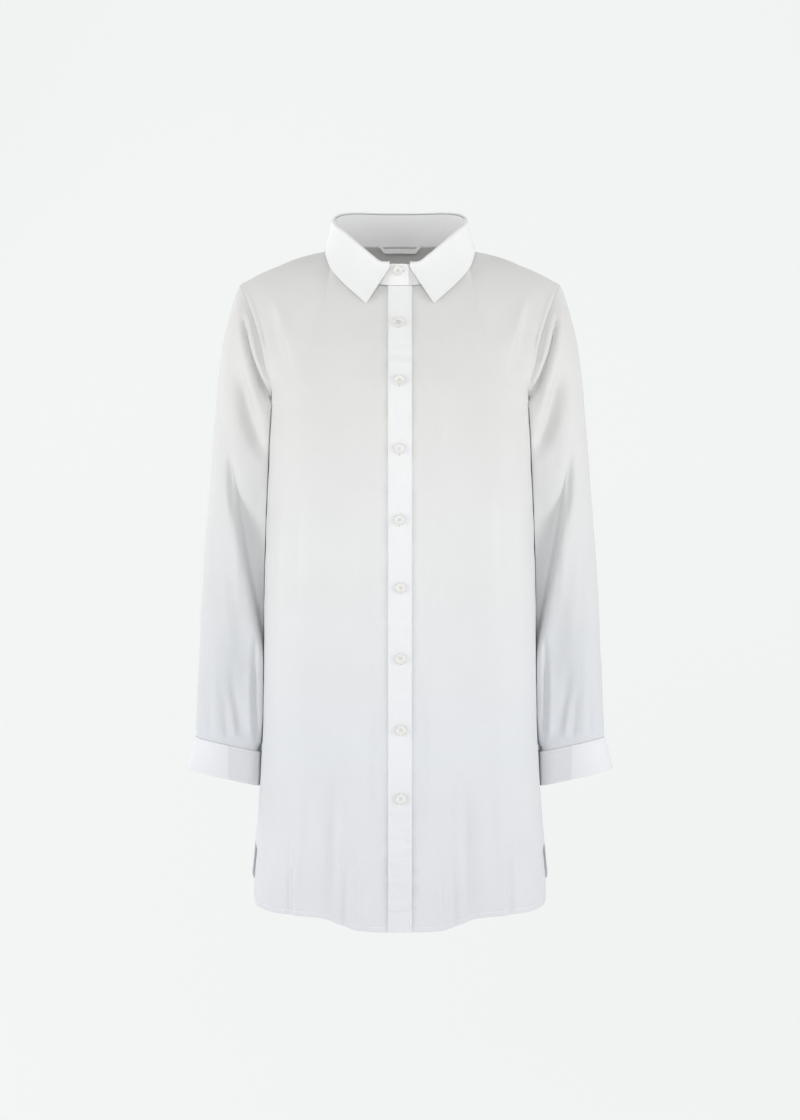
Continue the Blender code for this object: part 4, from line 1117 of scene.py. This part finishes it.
def work_buttonhole(point, normal, across, up, along_up, centre):
    """Close stitches round a slit, under the button."""
    along = up if along_up else across
    side = across if along_up else up
    half = SLIT_HALF_LENGTH
    base = point + along * centre - normal * 0.0006
    for k in range(46):
        at = -half + 2 * half * k / 45
        for edge in (-1, 1):
            spot = base + along * at + side * edge * 0.00085
            buttonholes.bar(spot, side, along, normal, *SLIT_SIDE_THREAD)
    for end in (-1, 1):
        for k in range(5):
            spot = base + along * end * (half + 0.0003) + side * (k - 2) * 0.0006
            buttonholes.bar(spot, along, side, normal, *SLIT_END_THREAD)
    slits.append((base - normal * 0.00005, along, side, normal))


def make_buttons():
    form = button_mesh()
    turn = -math.degrees(BAND_BUTTON.x / NECK_HALF_WIDTH)
    ends = mirrored(np.stack([band_point(np.array(turn), share)[0] for share in (0.0, 1.0)]))
    beside = mirrored(band_point(np.array(turn + 1), 0.0)[0])
    facing = unit(np.cross(ends[1] - ends[0], beside - ends[0]))
    middle = ends[0] + (ends[1] - ends[0]) * BAND_BUTTON.z
    point = middle + facing * (SOLID_BAND / 2 + SOLID_GAP)
    place_button("button_1", form, point, facing, np.array([0.0, 0, 1]), False, 0.0012)
    lift = SOLID_WALL / 2 + SOLID_GAP + SOLID_PLACKET + SOLID_GAP
    for number, spot in enumerate(PLACKET_BUTTONS, start=2):
        point, normal, up = front_spot(spot.x, spot.z)
        place_button(f"button_{number}", form, point + normal * lift, normal, up, True, -0.0008)
    cuff_buttons(form)
    threads.make("button_threads")
    buttonholes.make("buttonhole_stitches")
    make_slits()


def make_slits():
    """The dark line in the middle of each buttonhole."""
    vertices, faces = [], []
    for base, along, side, normal in slits:
        start = len(vertices)
        for a, b in ((-1, -1), (1, -1), (1, 1), (-1, 1)):
            for rise in (0.0, 0.00012):
                end = along * a * SLIT_HALF_LENGTH * 0.96
                vertices.append(base + end + side * b * 0.00022 + normal * rise)
        for quad in ((1, 3, 5, 7), (6, 4, 2, 0), (0, 2, 3, 1), (2, 4, 5, 3), (4, 6, 7, 5), (6, 0, 1, 7)):
            faces.append(tuple(start + k for k in quad))
    shade = (0.30, 0.29, 0.28)
    dark = cloth_material("slit_shade", ((-0.8, shade), (0.0, shade)), 0.9, 0.0, 0.0, weave=0.2)
    attach(mesh_object("buttonhole_slits", vertices, faces, dark))


def cuff_buttons(form):
    """The button on each cuff, at the middle of the overlap as in the solids."""
    _, points, normals, lift = cuff_base(22, (0, 0.5, 1))
    points = points + normals * lift[None, :, None]
    facing = normals[1, -2]
    seat = points[1, -2] + facing * (SOLID_CUFF / 2 + SOLID_GAP)
    up = unit(points[0, -2] - points[2, -2])
    place_button("button_cuff_left", form, seat, facing, up, False, 0.0012)
    place_button("button_cuff_right", form, *(mirrored(v) for v in (seat, facing, up)), False, -0.0012)


make_body()
make_placket()
make_sleeves()
make_collar()
make_buttons()
seams.make("seam_stitches")


# Studio

def studio():
    scene = bpy.context.scene
    scene.view_settings.view_transform = "Standard"
    scene.view_settings.look = "None"
    world = bpy.data.worlds.new("studio_air")
    world.use_nodes = True
    air = world.node_tree.nodes["Background"].inputs
    air["Color"].default_value = (0.98, 0.99, 1.0, 1)
    air["Strength"].default_value = 0.50
    scene.world = world

    sweep = [(x, y, z) for y, z in sweep_line() for x in (-9.0, 9.0)]
    faces = grid_faces(len(sweep) // 2, 2)[:, ::-1].tolist()
    surface = {"Base Color": (0.16, 0.163, 0.162, 1), "Roughness": 1.0, "Specular IOR Level": 0.0}
    glow = {"Emission Color": (0.855, 0.880, 0.871, 1), "Emission Strength": 0.86}
    paper = Graph("paper_sweep", {**surface, **glow}).material
    mesh_object("studio_floor", sweep, faces, paper, None, 80)

    for name, place, size, power in (
        ("left_strip", (-2.9, -1.35, -0.30), (0.9, 2.6), 40),
        ("right_strip", (2.9, -1.35, -0.30), (0.9, 2.6), 40),
        ("front_fill", (0.0, -4.2, 0.9), (4.0, 3.0), 46),
        ("back_side", (-2.1, 2.4, 0.7), (1.2, 1.2), 24),
    ):
        light = bpy.data.lights.new(name, "AREA")
        light.shape = "RECTANGLE"
        light.size, light.size_y = size
        light.energy = power
        lamp = bpy.data.objects.new(name, light)
        scene.collection.objects.link(lamp)
        lamp.location = place
        aim = Vector((0, 0, -0.40)) - Vector(place)
        lamp.rotation_euler = aim.to_track_quat("-Z", "Y").to_euler()

    camera = bpy.data.cameras.new("camera")
    distance, view_height, sensor = 3.5, 1.4, 24
    camera.sensor_fit = "VERTICAL"
    camera.sensor_height = sensor
    camera.lens = sensor * distance / view_height
    camera.clip_end = 50
    viewer = bpy.data.objects.new("camera", camera)
    viewer.location = (0, -distance, -0.382)
    viewer.rotation_euler = (math.radians(90), 0, 0)
    scene.collection.objects.link(viewer)
    scene.camera = viewer


def sweep_line():
    """The floor's and backdrop's line, from the front, along the floor and up in one curve."""
    low, wall, radius = -1.35, 3.4, 1.2
    line = [(-9.0, low), (-2.0, low), (wall - radius, low)]
    for k in range(1, 13):
        turn = math.pi / 2 * k / 12
        line.append((wall - radius + radius * math.sin(turn), low + radius * (1 - math.cos(turn))))
    line.append((wall, 7.0))
    return line


studio()
